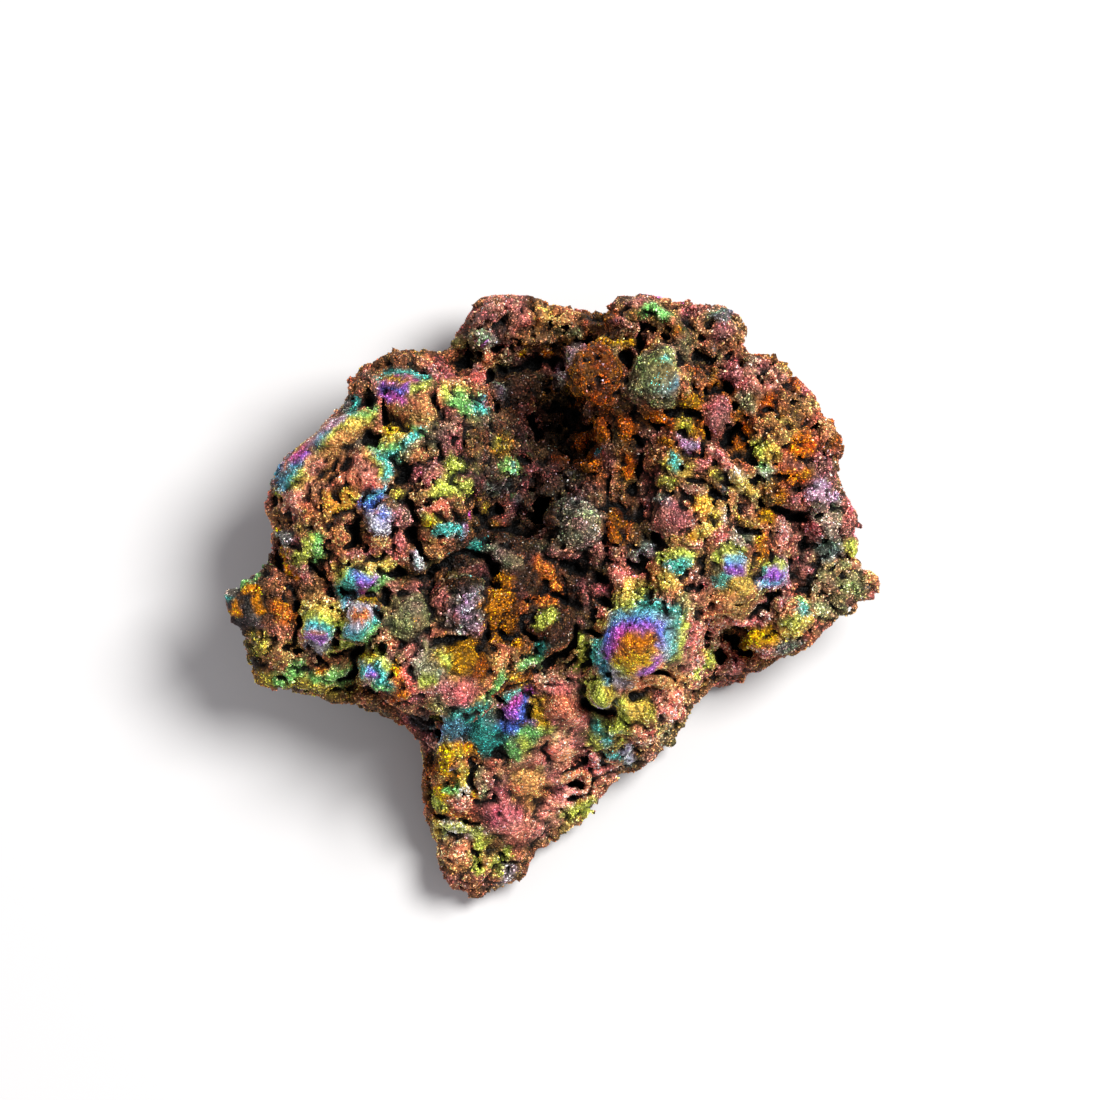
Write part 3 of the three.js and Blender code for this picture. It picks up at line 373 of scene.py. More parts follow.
CLEFTS = [  # clefts and dark gaps: width, depth, points along it
    (0.6, 1.4, (-16.7, 27.3), (-15.6, 26.7), (-14, 26.1)), (1, 1.6, (-20.5, 27.1), (-20.1, 26.7)),
    (0.9, 2.2, (-19.3, 22.4), (-18.9, 21.2), (-19.2, 20.2), (-20.2, 18.7), (-21.3, 17.7)),
    (0.5, 1.8, (-20.4, 17.9), (-18.9, 16.6), (-18.3, 15.4), (-17.4, 14.9)),
    (0.5, 1.9, (-23.1, 16.4), (-22.7, 15.1), (-22.2, 14.2), (-21.8, 13)),
    (0.4, 1.1, (-26.2, 13.6), (-24.9, 15.2), (-24.1, 16.8)),
    (0.4, 1.1, (-25.6, 13.2), (-24.4, 14.6), (-23.7, 15.9)),
    (0.35, 0.9, (-26.9, 14.4), (-25.8, 15.9), (-25, 17)), (1.9, 2.8, (-17.2, 14.7), (-16.8, 13.7)),
    (2, 2.2, (-22, 23.3), (-21.4, 22.5)), (1.3, 1.6, (-28.1, 11.5), (-27.7, 11.1)),
    (0.9, 1.4, (-31.9, 11.8), (-31.7, 11.2)), (0.7, 1.8, (-25.4, 9.1), (-23.6, 8.9), (-21.6, 9.4)),
    (1.3, 2.8, (-23.3, 8.4), (-23.4, 6.4)), (1.1, 2.6, (-16.1, 10.8), (-16.3, 9), (-16, 7.5)),
    (0.6, 1.4, (-28, 4.5), (-27, 3.8), (-26.5, 3)), (0.9, 1.6, (-32, 5.9), (-31.7, 4.5), (-31.3, 3.2)),
    (0.6, 1.8, (-30.2, 0.4), (-29.6, -1.4), (-29.7, -3.2), (-29.9, -5.4)),
    (0.6, 1.7, (-31.6, -5.8), (-29.8, -6.1), (-28, -6), (-27, -6.7), (-26.4, -7.9)),
    (1.3, 3, (-22, -5.8), (-23.2, -7.2), (-23.4, -8.9), (-24.4, -9.6)),
    (0.6, 1.4, (-22.6, -6.1), (-25.6, -6.2)),
    (0.8, 2, (-24.8, -10.3), (-21.6, -10.4), (-18.8, -11.1), (-16.6, -12.3), (-14.9, -13.2)),
    (0.45, 1.4, (-20.5, -1.4), (-19.4, -2.4), (-20, -4), (-21, -5.3)),
    (1, 2.2, (-19.2, 3.2), (-17, 2.9), (-15, 2.4), (-14.2, 3.2)),
    (0.6, 1.6, (-19.7, 0.7), (-19.3, -0.6)),
    (1, 2.6, (-14, 3.9), (-12.5, 4.8), (-10.5, 5.4), (-9, 4.9), (-7.5, 4.6), (-6.9, 3)),
    (0.8, 1.8, (-16.3, 6.7), (-15, 6.2), (-14.3, 4.9)),
    (0.6, 1.4, (-14.6, -3.6), (-13.4, -4.6), (-9.4, -4.9)),
    (0.7, 1.8, (-7.5, -3.6), (-7.5, -5.4), (-8.4, -6.5), (-7.2, -7.6)),
    (1, 1.6, (-4.8, -0.2), (-4.4, -0.4)), (0.5, 1.4, (-3.8, -1), (-3.5, -3), (-2.4, -4.4)),
    (1.3, 2.8, (0.2, 0), (1.5, -0.4)), (1.1, 2.8, (2.4, -3.4), (2.5, -4.6), (1.2, -6.2), (-0.6, -7.4)),
    (0.9, 2.2, (3.8, -3.9), (5.4, -3.8)), (1.1, 2, (4.8, -0.2), (5.9, -0.4)),
    (0.9, 2.4, (1.4, 3.9), (3.2, 3.3), (4.6, 3), (6.1, 2.2)),
    (1.6, 3, (-9.2, 9.9), (-7.9, 9.4), (-6.6, 10.4)), (1.5, 3, (-5, 8.2), (-3, 8.4), (-1.8, 8.2)),
    (1.3, 2.6, (-2, 11.2), (-1.2, 9.6), (-1.6, 8.2), (-2.8, 7.8)),
    (0.6, 1.8, (-11.5, 10.2), (-10.9, 8.8), (-10.1, 7.8)),
    (1.9, 3, (-10.9, 27.3), (-10.3, 28.6), (-10, 29.6)),
    (0.5, 1.5, (-8.9, 31.6), (-7.6, 31.9), (-6.6, 31.9)),
    (0.7, 1.9, (-6, 32.4), (-5.9, 30.6), (-6.4, 29.2)),
    (0.8, 1.6, (-4.2, 32.4), (-3.2, 31.7), (-2.2, 31.9)),
    (1.6, 3, (-5.8, 27.5), (-3.8, 27.2), (-2, 27.5), (-0.4, 27.6), (1, 26.9)),
    (1.4, 2.6, (-8.6, 24), (-7.6, 24.6), (-7.4, 26)), (0.9, 1.8, (-7.3, 23.6), (-6.4, 21.9)),
    (0.45, 1.7, (-13.7, 23.3), (-13.2, 21.8), (-12.9, 20.5)), (1.2, 2.2, (4.2, 30.5), (4.7, 29.4)),
    (1.2, 1.6, (3.4, 32.8), (5.4, 32.6)), (1.4, 3, (8.5, 27.6), (8.7, 25.2)),
    (1.1, 2.2, (7.8, 24.6), (7.4, 23.6)), (0.8, 1.8, (10.3, 31.6), (11.4, 31.2)),
    (0.9, 2, (16.5, 31.6), (17.3, 30.3)), (0.6, 1.4, (20.3, 32), (20, 31)),
    (0.9, 1.6, (14.6, 27.9), (15.4, 27.3)), (1.2, 1.8, (16.4, 27.9), (17.8, 27.6)),
    (1.1, 3, (20.4, 24.4), (20.6, 22.6), (20.8, 21), (21, 19.6), (20.6, 18.4), (19.8, 17.9)),
    (0.8, 2.4, (15.2, 21.4), (16.6, 20.8), (17.3, 19.7), (17.9, 18.6)),
    (0.5, 1.5, (25.1, 22.2), (26.2, 21), (27.2, 19.9)),
    (0.4, 1.2, (26.5, 15.3), (26, 14), (26.6, 12.8)),
    (1.3, 2.8, (24.3, 10.7), (26.2, 10.5), (28.2, 9.9), (29.6, 9.2)),
    (0.7, 1.8, (20.6, 8.2), (22.4, 8), (24.2, 7.5)),
    (0.7, 1.8, (15.4, 13.8), (17.4, 13.6), (18.4, 12.2)), (1, 2.2, (14.2, 12.1), (15.6, 11)),
    (0.9, 2, (9.3, 19.2), (10.2, 18)), (0.8, 1.9, (10.4, 16.6), (9.9, 14.6)),
    (0.8, 1.9, (11.8, 7.6), (12.4, 6.4), (13.6, 5.9)), (0.5, 1.6, (7.7, 6.2), (8.8, 4.7), (9.9, 3.9)),
    (0.6, 1.1, (17.4, 4.4), (17, 2.6), (16.7, 1.2)), (0.5, 1, (17.2, -1.2), (17.9, -3)),
    (0.4, 1.4, (20.4, -1.2), (20.6, -0.6), (21.4, -0.45), (22.3, -0.6)),
    (0.5, 1.2, (20.4, -2.1), (21, -2)), (1.1, 2.6, (25.7, 0.7), (24.9, -0.3), (24, -1.3), (22.9, -2)),
    (1.7, 3, (18.2, -4.4), (19.8, -4.7), (21.4, -4.9)), (1.2, 2.8, (19.5, -5.4), (19.3, -7)),
    (1.4, 2.4, (21.4, -5.8), (22.6, -6.2)), (0.5, 1, (29, -1.8), (29.1, -1.4)),
    (0.9, 2, (4, -12.1), (5.4, -13.2), (6.8, -13.2), (8, -11.9)),
    (0.6, 1.5, (9.9, -8.5), (11.6, -8.4), (13, -8.9), (14.2, -9.6), (14, -10.9)),
    (0.7, 1.5, (-2.5, -11.8), (-2.4, -13.4)), (1.1, 2.6, (-13.2, -14), (-12.9, -15.2), (-13.2, -16.4)),
    (0.4, 1, (-9.8, -18.4), (-9.2, -20), (-9.4, -22.2)),
    (0.5, 1.4, (-13.6, -26), (-11.8, -26.2), (-8.8, -26.2)), (0.5, 1.2, (-8.4, -30.2), (-8.3, -31.9)),
    (0.5, 1.3, (-5, -31.2), (-6.5, -32.7)), (0.35, 1, (-6.9, -22.4), (-6.3, -24.2), (-6.2, -26)),
    (0.6, 1.7, (1.1, -24.6), (1.9, -23.5), (3.2, -22.9), (4.7, -22.3)),
    (1.2, 1.5, (1.6, -21.9), (3.2, -21.9)), (0.4, 0.9, (3.6, -18.2), (4.6, -20.2), (4.7, -21.6)),
    (0.35, 0.9, (-1, -16.4), (-0.9, -18.8)), (0.8, 1.4, (-10, -33.7), (-9.9, -34.2)),
    (1, 1.4, (2.2, 23.4), (2.4, 21.2), (1.9, 20.2)),
    (1.4, 2.4, (-2.6, 21.8), (-2.4, 20.2), (-2, 19.2)), (0.6, 1.4, (-10, 19.8), (-9.9, 17.6)),
    (0.5, 1.3, (-14.2, 11.2), (-15.8, 10.8)), (0.7, 1.6, (-24.9, -3.4), (-25, -4.9)),
    (0.6, 1.4, (-21, 6.2), (-21.7, 5.2), (-24, 5.9)),
]

SPONGE = [  # open, spongy texture: x, y, half length, half width, turn
    (14, 28, 12, 7, 0), (27, 19, 7, 7, 0), (8, 17, 5, 5, 0), (-1, 31, 7, 3, 0), (0, 18, 6, 7, 0),
    (17, 20, 5, 6, 0),
]

SMOOTH = [  # firm sheets and domes with only a fine grain, given in the same way
    (-26.5, 17, 6.5, 2.6, 42), (-21.6, 14.6, 2.4, 2.8, 0), (-16.5, 22, 2.5, 2, 20),
    (-4, -26, 6, 3.4, 20), (-17.6, 25, 2.9, 1.6, 0), (-24, 19.6, 4.5, 1.6, 22),
    (-29, 15.6, 3, 1.8, 52), (-21.8, 15, 1.6, 2, 0), (-22.2, 2, 2.6, 1.4, 0), (-22, -2.8, 1.8, 2.6, 0),
    (-27, -3.4, 1.6, 2.4, 0), (-16.6, -2, 2.6, 2.8, 0), (-11.5, -8.4, 4.4, 4, 0),
    (9.6, -4.6, 4.6, 4.2, 0), (20.4, 2.8, 3, 3.2, 0), (21, -1.2, 3, 1.6, 10), (13.8, 9.4, 2, 1.6, 0),
    (11.9, 25.6, 2.2, 2.6, 0), (-2.5, -23.5, 4.5, 5, 0), (-8.4, -15.6, 4.4, 2.2, 0),
    (18.8, 21.3, 1.1, 1.9, 0), (0, -16, 6, 3.6, 30), (1.5, -12.5, 3.4, 2.8, 0), (8, -11, 5, 3.4, 35),
    (13, -6, 3.4, 4.4, 0), (-35.6, -1.4, 3.2, 2.2, -50), (-5.6, 4.6, 2.4, 1, -35),
    (26, 3.2, 1.5, 1.6, -20),
]

# --------------------------------------------------------------------------------------------------
# Colours, as linear values. A thin film on the crust gives the bright ones

COLOURS = {
    "tan": (0.66, 0.31, 0.125), "pink": (0.74, 0.29, 0.20), "mauve": (0.47, 0.18, 0.14),
    "brown": (0.30, 0.13, 0.055), "umber": (0.11, 0.055, 0.024), "rust": (0.64, 0.18, 0.025),
    "sienna": (0.31, 0.10, 0.015), "ochre": (0.46, 0.21, 0.025), "gold": (0.80, 0.44, 0.08),
    "olive": (0.42, 0.32, 0.06), "moss": (0.30, 0.27, 0.12), "grey": (0.42, 0.38, 0.25),
    "slate": (0.19, 0.20, 0.16), "silver": (0.68, 0.50, 0.48), "dark": (0.04, 0.03, 0.025),
    "cream": (0.92, 0.84, 0.54), "salmon": (0.82, 0.28, 0.15), "pearl": (0.60, 0.59, 0.66),
    "lilac": (0.62, 0.38, 0.50),
}
FILM = COLOURS | {
    "bare": (0.84, 0.40, 0.20), "yellow": (0.88, 0.62, 0.14), "lime": (0.56, 0.70, 0.12),
    "green": (0.22, 0.62, 0.16), "teal": (0.08, 0.55, 0.42), "cyan": (0.15, 0.53, 0.68),
    "blue": (0.10, 0.20, 0.68), "violet": (0.36, 0.14, 0.60), "magenta": (0.66, 0.10, 0.42),
    "red": (0.86, 0.18, 0.14), "orange": (0.95, 0.36, 0.03), "gold": (0.66, 0.40, 0.03),
    "core": (0.52, 0.17, 0.015), "apricot": (0.90, 0.46, 0.16), "ember": (0.70, 0.20, 0.05),
    "amber": (0.50, 0.19, 0.02), "ochre": (0.42, 0.22, 0.02), "paint": (0.98, 0.36, 0.02),
    "sea": (0.03, 0.31, 0.24), "steel": (0.09, 0.26, 0.34),
}
FILM_ORDER = (
    "yellow", "lime", "green", "teal", "cyan", "blue", "violet", "magenta", "red", "orange", "gold",
)
film_ramp = np.array([FILM[name] for name in FILM_ORDER])

FILM_BANDS = {  # by colour, patches and bands of film: radius, points along it
    "steel": [
        (0.4, (-31.9, 14), (-31.4, 16)), (0.8, (-12.6, -15.4), (-11, -14.8), (-10, -15.3)),
    ],
    "salmon": [
        (0.7, (-31, 15.4), (-30, 17), (-28.8, 17.8)), (0.8, (-23.6, 13.6), (-22.6, 13.3)),
        (0.9, (0.2, -12.6), (1.4, -13.4)),
    ],
    "magenta": [
        (0.3, (-30.6, 15.6), (-29.4, 17), (-28.5, 18)),
        (0.35, (-18, 25.9), (-16.4, 25.9), (-15.4, 25.3)), (0.35, (-18.9, 23.2), (-17.6, 23.4)),
        (0.35, (-22.2, 1.5), (-21.8, 0.9)), (0.35, (6.9, -6.2), (7, -5), (7.5, -3.7), (8.8, -3.2)),
        (0.4, (-4.6, -12.2), (-3.2, -11.6), (-2.6, -10.8)),
    ],
    "violet": [
        (0.35, (-29.8, 15.4), (-28.6, 17)), (0.3, (-19.7, 24.4), (-16.4, 24.6)),
        (0.3, (-19.4, 23.6), (-18.8, 22.8)), (0.35, (-22.7, 2), (-21.4, 2.2), (-20.4, 2.5)),
        (0.3, (-28, -4.4), (-27, -5), (-26.3, -4.2)), (0.3, (-21.3, -8.2), (-20.5, -8.3)),
        (0.35, (6.2, -6.8), (6.3, -5), (7, -3.5), (8.6, -2.7), (11.4, -2.9)),
        (0.3, (9.6, -8.1), (11.2, -7.8), (12.2, -6.8)), (0.45, (20.2, 3.3), (21, 3)),
        (0.55, (25, 2), (25.4, 3), (25.8, 3.8)), (0.5, (-5.4, -13.3), (-4.4, -12.8)),
    ],
    "cyan": [
        (0.5, (-30.9, 13.4), (-30.4, 14.6), (-29.4, 15.4)), (0.3, (-27.3, 17.7), (-26, 19.4)),
        (0.35, (-21, 11.5), (-19.6, 12.1)), (0.4, (-24.2, -0.4), (-23.2, 0.2)),
        (0.3, (-23, 1.4), (-22.8, 0.8)), (0.5, (-23.7, -3.3), (-22.6, -3.6)), (0.35, (-20.3, -1.3)),
        (0.35, (-28, -3.3), (-26.8, -3.4)),
        (0.5, (6.6, -2.4), (8.2, -1.5), (10.2, -1.3), (12, -1.8), (13, -3.4), (13, -5), (12.7, -6.2)),
        (0.5, (5.6, -7.8), (6.6, -9)), (0.45, (20, 4.8), (21.2, 4.8)), (0.3, (24.5, 1.4), (25.4, 1.7)),
        (0.5, (13.2, 25.6), (13.7, 24.8)),
    ],
    "teal": [
        (0.35, (-30.4, 13.2), (-29.6, 14.4)), (0.35, (-27.4, 17), (-26.4, 18.2)),
        (0.3, (-23, 23.4), (-23.5, 22.4), (-23.5, 21.2)),
        (0.3, (-19.9, 25), (-18.6, 26.1), (-17, 26.3), (-15.4, 25.9), (-14.4, 25.5)),
        (0.35, (-20.2, 17), (-19.3, 15.7), (-19, 14.5), (-19.2, 13.6)),
        (0.5, (-18.6, 16.5), (-17, 17.8), (-15.4, 19.4)), (0.6, (-8.3, 22.4)),
        (0.5, (-13.2, 7.6), (-12, 8), (-10.8, 7.8)), (0.5, (-24.2, 0.8), (-23.7, 2), (-22.9, 2.9)),
        (0.6, (-22.8, -4.6), (-21.6, -4), (-20.6, -2.6)),
        (0.45, (-27.8, -2.4), (-26.2, -2.8), (-25.8, -3.8)),
        (0.5, (-20.2, -7.5), (-19.4, -8.4), (-19.3, -9.2)), (0.3, (-22.1, -7.6), (-22.1, -8.8)),
        (0.3, (-37.6, 0.1)), (0.4, (-1.3, -6), (-1.2, -5)), (0.3, (-9.2, 5.8), (-8, 6.1)),
        (0.6, (10.4, -0.3), (12.4, -0.7), (13.9, -2.2), (14, -4.6), (13.6, -6.2)),
        (0.4, (4.6, -7.2), (5.1, -5)), (0.5, (18.9, 2.4), (19.6, 1.8)),
        (0.25, (24.4, 2.4), (24.6, 3.6)), (0.35, (28.8, -1), (28.9, -2)),
        (0.6, (13.8, 3.8), (14.8, 4), (15.6, 4.8)), (0.5, (12.1, 24.4), (12.4, 26.6)),
        (0.6, (13.8, 16)), (0.4, (-5.3, -11.4), (-4.2, -11)), (0.6, (5.6, -15.4), (6.2, -16.2)),
        (0.4, (6.6, -18.2), (7.4, -18.2)),
    ],
    "lime": [
        (0.35, (-30, 13), (-29.1, 14.4), (-28.6, 15.2)),
        (0.4, (-27, 16.8), (-26, 18.4), (-25.2, 19.6), (-23.8, 20.2)),
        (0.4, (-22, 20.5), (-20.6, 21.2)), (0.4, (-15.8, 24.6), (-14.6, 25.1)),
        (0.35, (-20.6, 16.8), (-19.7, 15.6), (-19.4, 14.2)), (0.7, (-11.8, 24)), (0.7, (-11.2, 15.4)),
        (0.8, (-13.4, 12.6), (-12, 12.8)), (0.6, (-10.2, 12.6)), (0.4, (-14.6, 9), (-13.2, 8.8)),
        (0.35, (-24.5, 2.6), (-23.2, 3.4), (-21, 3.5), (-19.2, 3.3)),
        (0.45, (-24.6, -2.8), (-24.2, -4.6), (-23, -5.5), (-22, -5.6)),
        (0.5, (-28.6, -1.6), (-26.6, -1.6), (-25.6, -2.4)), (0.4, (-25.6, -5.8)),
        (0.3, (-21.6, -7), (-20, -6.9), (-19, -7.6)), (0.5, (-29.4, 5), (-27.8, 6.6)),
        (0.3, (-12.6, -5.8), (-12.3, -7.4)), (0.4, (-14.8, -9.4), (-13.8, -9.2)),
        (0.5, (-1.4, -2.6), (-0.6, -1.7)), (0.4, (7.8, -8.3)),
        (0.6, (7.4, -0.7), (9, -0.4), (10.2, 0.5)), (0.4, (14.8, -2.4), (14.8, -5), (14.2, -6.8)),
        (0.45, (3.2, -4.8), (3.4, -6), (3.5, -7.6)), (0.8, (4.8, -10), (5.4, -11), (5.2, -12.5)),
        (0.6, (8.4, -12.4), (8.2, -14.2)), (0.4, (18.5, 4.6), (19.4, 5.6), (21.4, 5.7)),
        (0.35, (24.5, 4), (25.6, 4.8), (27.2, 4.2)), (0.4, (26.9, -3), (28.4, -2.8)),
        (0.4, (12.4, 4.6), (13.6, 5), (15, 5.8), (16.2, 5.4)),
        (0.35, (18.6, -5.8), (18.4, -7), (17.2, -8.2), (16.8, -9.2)), (0.5, (34.8, 6.4), (35.4, 5.6)),
        (0.6, (23.5, 17.5)), (0.3, (-1.9, -15), (-0.8, -14.8)), (0.4, (-3.6, -16.6), (-3, -17.4)),
        (0.4, (-13.8, -23.6), (-13, -24.8)),
        (0.4, (-12.6, -27), (-10.4, -26.9), (-9, -27.1), (-8.5, -28.4), (-8.7, -31), (-8.6, -32.4)),
        (0.35, (-5.4, -29.6), (-6, -30.6), (-6.6, -31.8)),
        (0.5, (4.4, -16.6), (5.4, -17), (6.4, -15), (7.6, -14.4)),
        (0.5, (1.8, -25.6), (3.4, -24.8), (4.4, -23.8)),
    ],
    "yellow": [
        (0.4, (-29.4, 12.9), (-28.2, 14.4)), (0.4, (-24.6, 19.7), (-23, 20.1), (-21.6, 20.3)),
        (0.5, (-19.6, 18.6), (-17.4, 18.4)), (0.35, (-25.2, 3.3), (-23, 4), (-21, 4.2), (-18.5, 3.9)),
        (0.4, (-24.9, -0.4), (-24.9, -2)), (0.5, (-28.6, -0.7), (-25.6, -0.8)),
        (0.4, (5.4, -2.7), (6.3, -2.2)), (0.7, (8.2, 0.4), (9.8, 1.6)),
        (0.5, (9.4, -11.8), (9.6, -13.4)), (0.5, (20, 1), (22, 1.6), (22.5, 3.4)),
        (0.35, (27, -4.1), (28.6, -3.8), (29.5, -2.8)), (0.5, (12.6, 2.2), (13.4, 2.8)),
        (0.6, (17, 7.6), (18.4, 8.6), (18.6, 10)), (0.6, (25, 16.3)),
        (0.6, (20.8, 13.6), (22.5, 12.9)), (0.5, (15.2, 15)), (0.35, (-10.4, -20), (-10.3, -21.6)),
        (0.4, (-14, -27), (-13.4, -27.5)),
    ],
    "bare": [
        (0.8, (-28.2, 15.6), (-27, 17)),
    ],
    "pink": [
        (0.35, (-28.6, 18.2), (-26.8, 19.6), (-26, 20.4)), (0.5, (-27.6, 14.4), (-26.4, 15.8)),
        (0.7, (-30.2, 10.6), (-29.4, 12.4)), (0.35, (-19.6, 24.8), (-17, 24.9), (-15.8, 25.3)),
        (0.9, (-22, 16), (-21.2, 15)), (0.5, (-27.4, -4.2), (-26.8, -4.4)),
        (0.5, (-11.4, -23.4), (-10.4, -24.6)),
    ],
    "lilac": [
        (0.3, (-27.8, 17.8), (-26.4, 19.3), (-25.6, 20.4), (-24.2, 20.6)),
    ],
    "apricot": [
        (1.1, (-25.8, 17.8), (-24.6, 19)), (0.4, (-21.4, 16.7), (-20.2, 15.6)), (0.6, (-11.5, 25)),
        (0.5, (-20, 6.6)), (0.5, (-28, 0), (-26.6, 0.2)), (0.8, (-3.8, -21.4), (-2, -22.4)),
    ],
    "green": [
        (0.4, (-23, 20.5), (-21.6, 21), (-20.6, 21.8)), (0.7, (-19.8, 17.6), (-18.2, 17.3)),
        (0.35, (-16.2, 19.6), (-15, 19.4)), (0.7, (-10.9, 22.8), (-9.8, 22.4)), (0.7, (-5.2, 15.2)),
        (0.4, (-21.2, 1.4), (-20.2, 1.4), (-19.2, 2.6)),
        (0.35, (-21.8, -5), (-20.9, -4.3), (-20.2, -3.2)), (0.35, (-19.3, -9.6), (-20.2, -9.9)),
        (0.7, (-28, -9.5), (-26, -9.3), (-24.4, -9.1)), (0.5, (-31.6, -9.2), (-30.2, -8.8)),
        (0.5, (-30, -7.8)), (0.5, (-27.4, 6.6), (-26.8, 5.6), (-27.1, 4.9)),
        (0.3, (-36, 1.7), (-34.8, 2.8), (-33.6, 3.9)),
        (0.3, (-7.6, -11.2), (-6.4, -9.8), (-5.6, -8.2)), (0.5, (-3, -7.4), (-1.6, -7)),
        (0.3, (28.5, -0.2), (29.4, -0.6)), (0.5, (24.2, 14.8)), (0.5, (10.6, 33), (12.8, 33)),
        (0.5, (-4.9, -17.2), (-4.5, -18.2)), (0.4, (-3.8, -15.6), (-2, -15.6)),
        (0.3, (-12.8, -21.9), (-11.4, -22)),
    ],
    "gold": [
        (0.5, (-19.2, 25.1), (-17.4, 25.4)), (0.5, (-18.8, 19.5), (-17, 19.3)), (0.5, (-14.2, 8.4)),
        (0.3, (-22.4, -0.1), (-20.8, -0.2)), (0.35, (-21.8, -6.5), (-20.4, -6.4)),
        (0.6, (7.6, -7.7), (9, -7.2), (10.8, -6.6)), (0.6, (23, -4.6), (25.2, -4.6)),
        (0.4, (-1.6, -12), (-1.8, -13.4), (-1.2, -14.4)),
        (0.5, (-12.2, -16.6), (-12, -18), (-12.6, -19.4)), (0.4, (-13.6, -22.4), (-12.6, -23)),
    ],
    "blue": [
        (0.4, (-19, 23.9), (-17.4, 24)), (0.35, (-21.3, 11), (-20.2, 11.6)),
        (0.3, (-20.4, 9.8), (-19.4, 9.4)), (0.35, (-22.8, 2.6), (-20.8, 2.9)),
        (0.35, (-21.2, -7.5), (-20.4, -7.8)),
        (0.35, (5.6, -5.8), (5.8, -4.2), (6.8, -2.8), (8.2, -2.1), (10.6, -2.1), (12.1, -3.2),
         (12.2, -5.2)), (0.3, (20, 4), (21.3, 3.8)), (0.3, (26.2, 2.4), (26.6, 3.4)),
        (0.5, (-5.6, -15), (-4.4, -14.9), (-3.3, -13.6), (-2.8, -12.4)),
    ],
    "moss": [
        (0.5, (-17.2, 16.8), (-15.8, 17.8)), (0.4, (-14.4, -5.4), (-13.9, -7.4)),
        (0.6, (-13.4, -11.7), (-12.6, -12.3)),
    ],
    "red": [
        (0.7, (-8.9, 25.4)), (0.3, (-20.3, 9.6)), (0.35, (-17.1, -8.3), (-16.6, -9.4), (-15.9, -10.4)),
        (0.3, (5.3, -1.4)),
    ],
    "pearl": [
        (0.5, (-20.2, 9.4), (-19.8, 8)),
        (0.25, (-23.7, -1.3), (-23.2, -2.6), (-22.2, -2.9), (-21.1, -2.3), (-20.8, -1.4),
         (-21.6, -0.8), (-22.8, -0.8), (-23.7, -1.3)),
        (0.3, (-28.4, -5.1), (-27, -5.6), (-25.8, -5), (-25.8, -4.4)),
        (0.35, (7.1, -8.7), (8.3, -9.6)), (0.4, (8.4, -18)),
    ],
    "ember": [
        (0.6, (-23, -1.5), (-22.2, -2), (-21.7, -1.6)), (0.5, (-18.2, -8.8), (-17.2, -10.2)),
        (0.6, (-31.4, -2), (-30.4, -1.2)), (0.4, (-1.4, 4.2), (-0.6, 2.6), (1.2, 0.4)),
        (0.4, (-3.4, -0.4), (-0.6, -0.3)),
    ],
    "orange": [
        (0.3, (-18.3, -7.3), (-17.6, -8.3)), (0.25, (3.3, -6.8)),
        (0.4, (-10.6, -16.6), (-9.6, -17.4), (-9, -18.6)), (0.25, (-9.7, -22.4), (-9.6, -23.4)),
    ],
    "olive": [
        (0.6, (-29.6, -10), (-25.8, -10.4)),
    ],
    "paint": [
        (0.19, (-35.2, 1), (-34.4, 1.5), (-33.8, 1.2), (-33.9, 0), (-33.4, -1.8)),
        (0.19, (-37.4, -1.5), (-36.8, -1.4), (-36.1, -0.9)), (0.19, (-32.7, 4.8), (-33, 5.8)),
        (0.19, (-31, 6), (-30.8, 4.6), (-30.1, 2.7)), (0.19, (-31.6, 7.8)), (0.19, (-16, -2.2)),
        (0.19, (-3.9, 29.1)),
    ],
    "slate": [
        (0.6, (-31, 7.2)),
    ],
    "ochre": [
        (1.1, (-11.6, -6), (-9.8, -6.6), (-11.2, -7.8)),
    ],
    "amber": [
        (0.9, (-7, 0), (-6.4, -2), (-6.8, -3.4)), (0.5, (-6.6, 2.4), (-5.4, 1.4)),
        (0.5, (-5.4, -4.2), (-4, -5)),
    ],
    "core": [
        (1.5, (8.4, -5.2), (9.8, -4.9), (10.4, -5.6)),
    ],
    "sea": [
        (0.6, (-11, -13.3), (-8.2, -12.8)),
        (0.9, (-9, -14.4), (-8.4, -16.4), (-7.6, -17.4), (-6.8, -15.6)),
    ],
    "cream": [
        (0.35, (-10.2, -22.4)), (0.4, (-11.6, -27.8)),
    ],
}

PAINTED_LIGHT_AND_SHADE = [  # painted light and shade: regions lightened where their faces turn away from the lamp and darkened round the central hollow: x, y, half length, half width, turn, factor
    (-3, 2, 10, 8, 0, 0.52), (-4, 14, 8, 7, 0, 0.5), (2, 22, 10, 8, 0, 0.7), (0, 12, 6, 5, 0, 0.75),
    (-8, 33, 7, 4, 0, 0.8), (7, -15, 12, 6, 45, 1.7), (0, -22, 7, 6, 30, 1.45),
    (14, -4, 7, 6, 30, 1.4), (26, -2, 6, 5, 20, 1.4), (34, 2, 6, 5, 0, 1.4), (-24, -3, 8, 8, 0, 1.5),
    (-24, 16, 8, 7, 0, 1.15), (20, 8, 9, 4, 0, 1.25), (-9, -29, 5, 5, 0, 1.3),
]

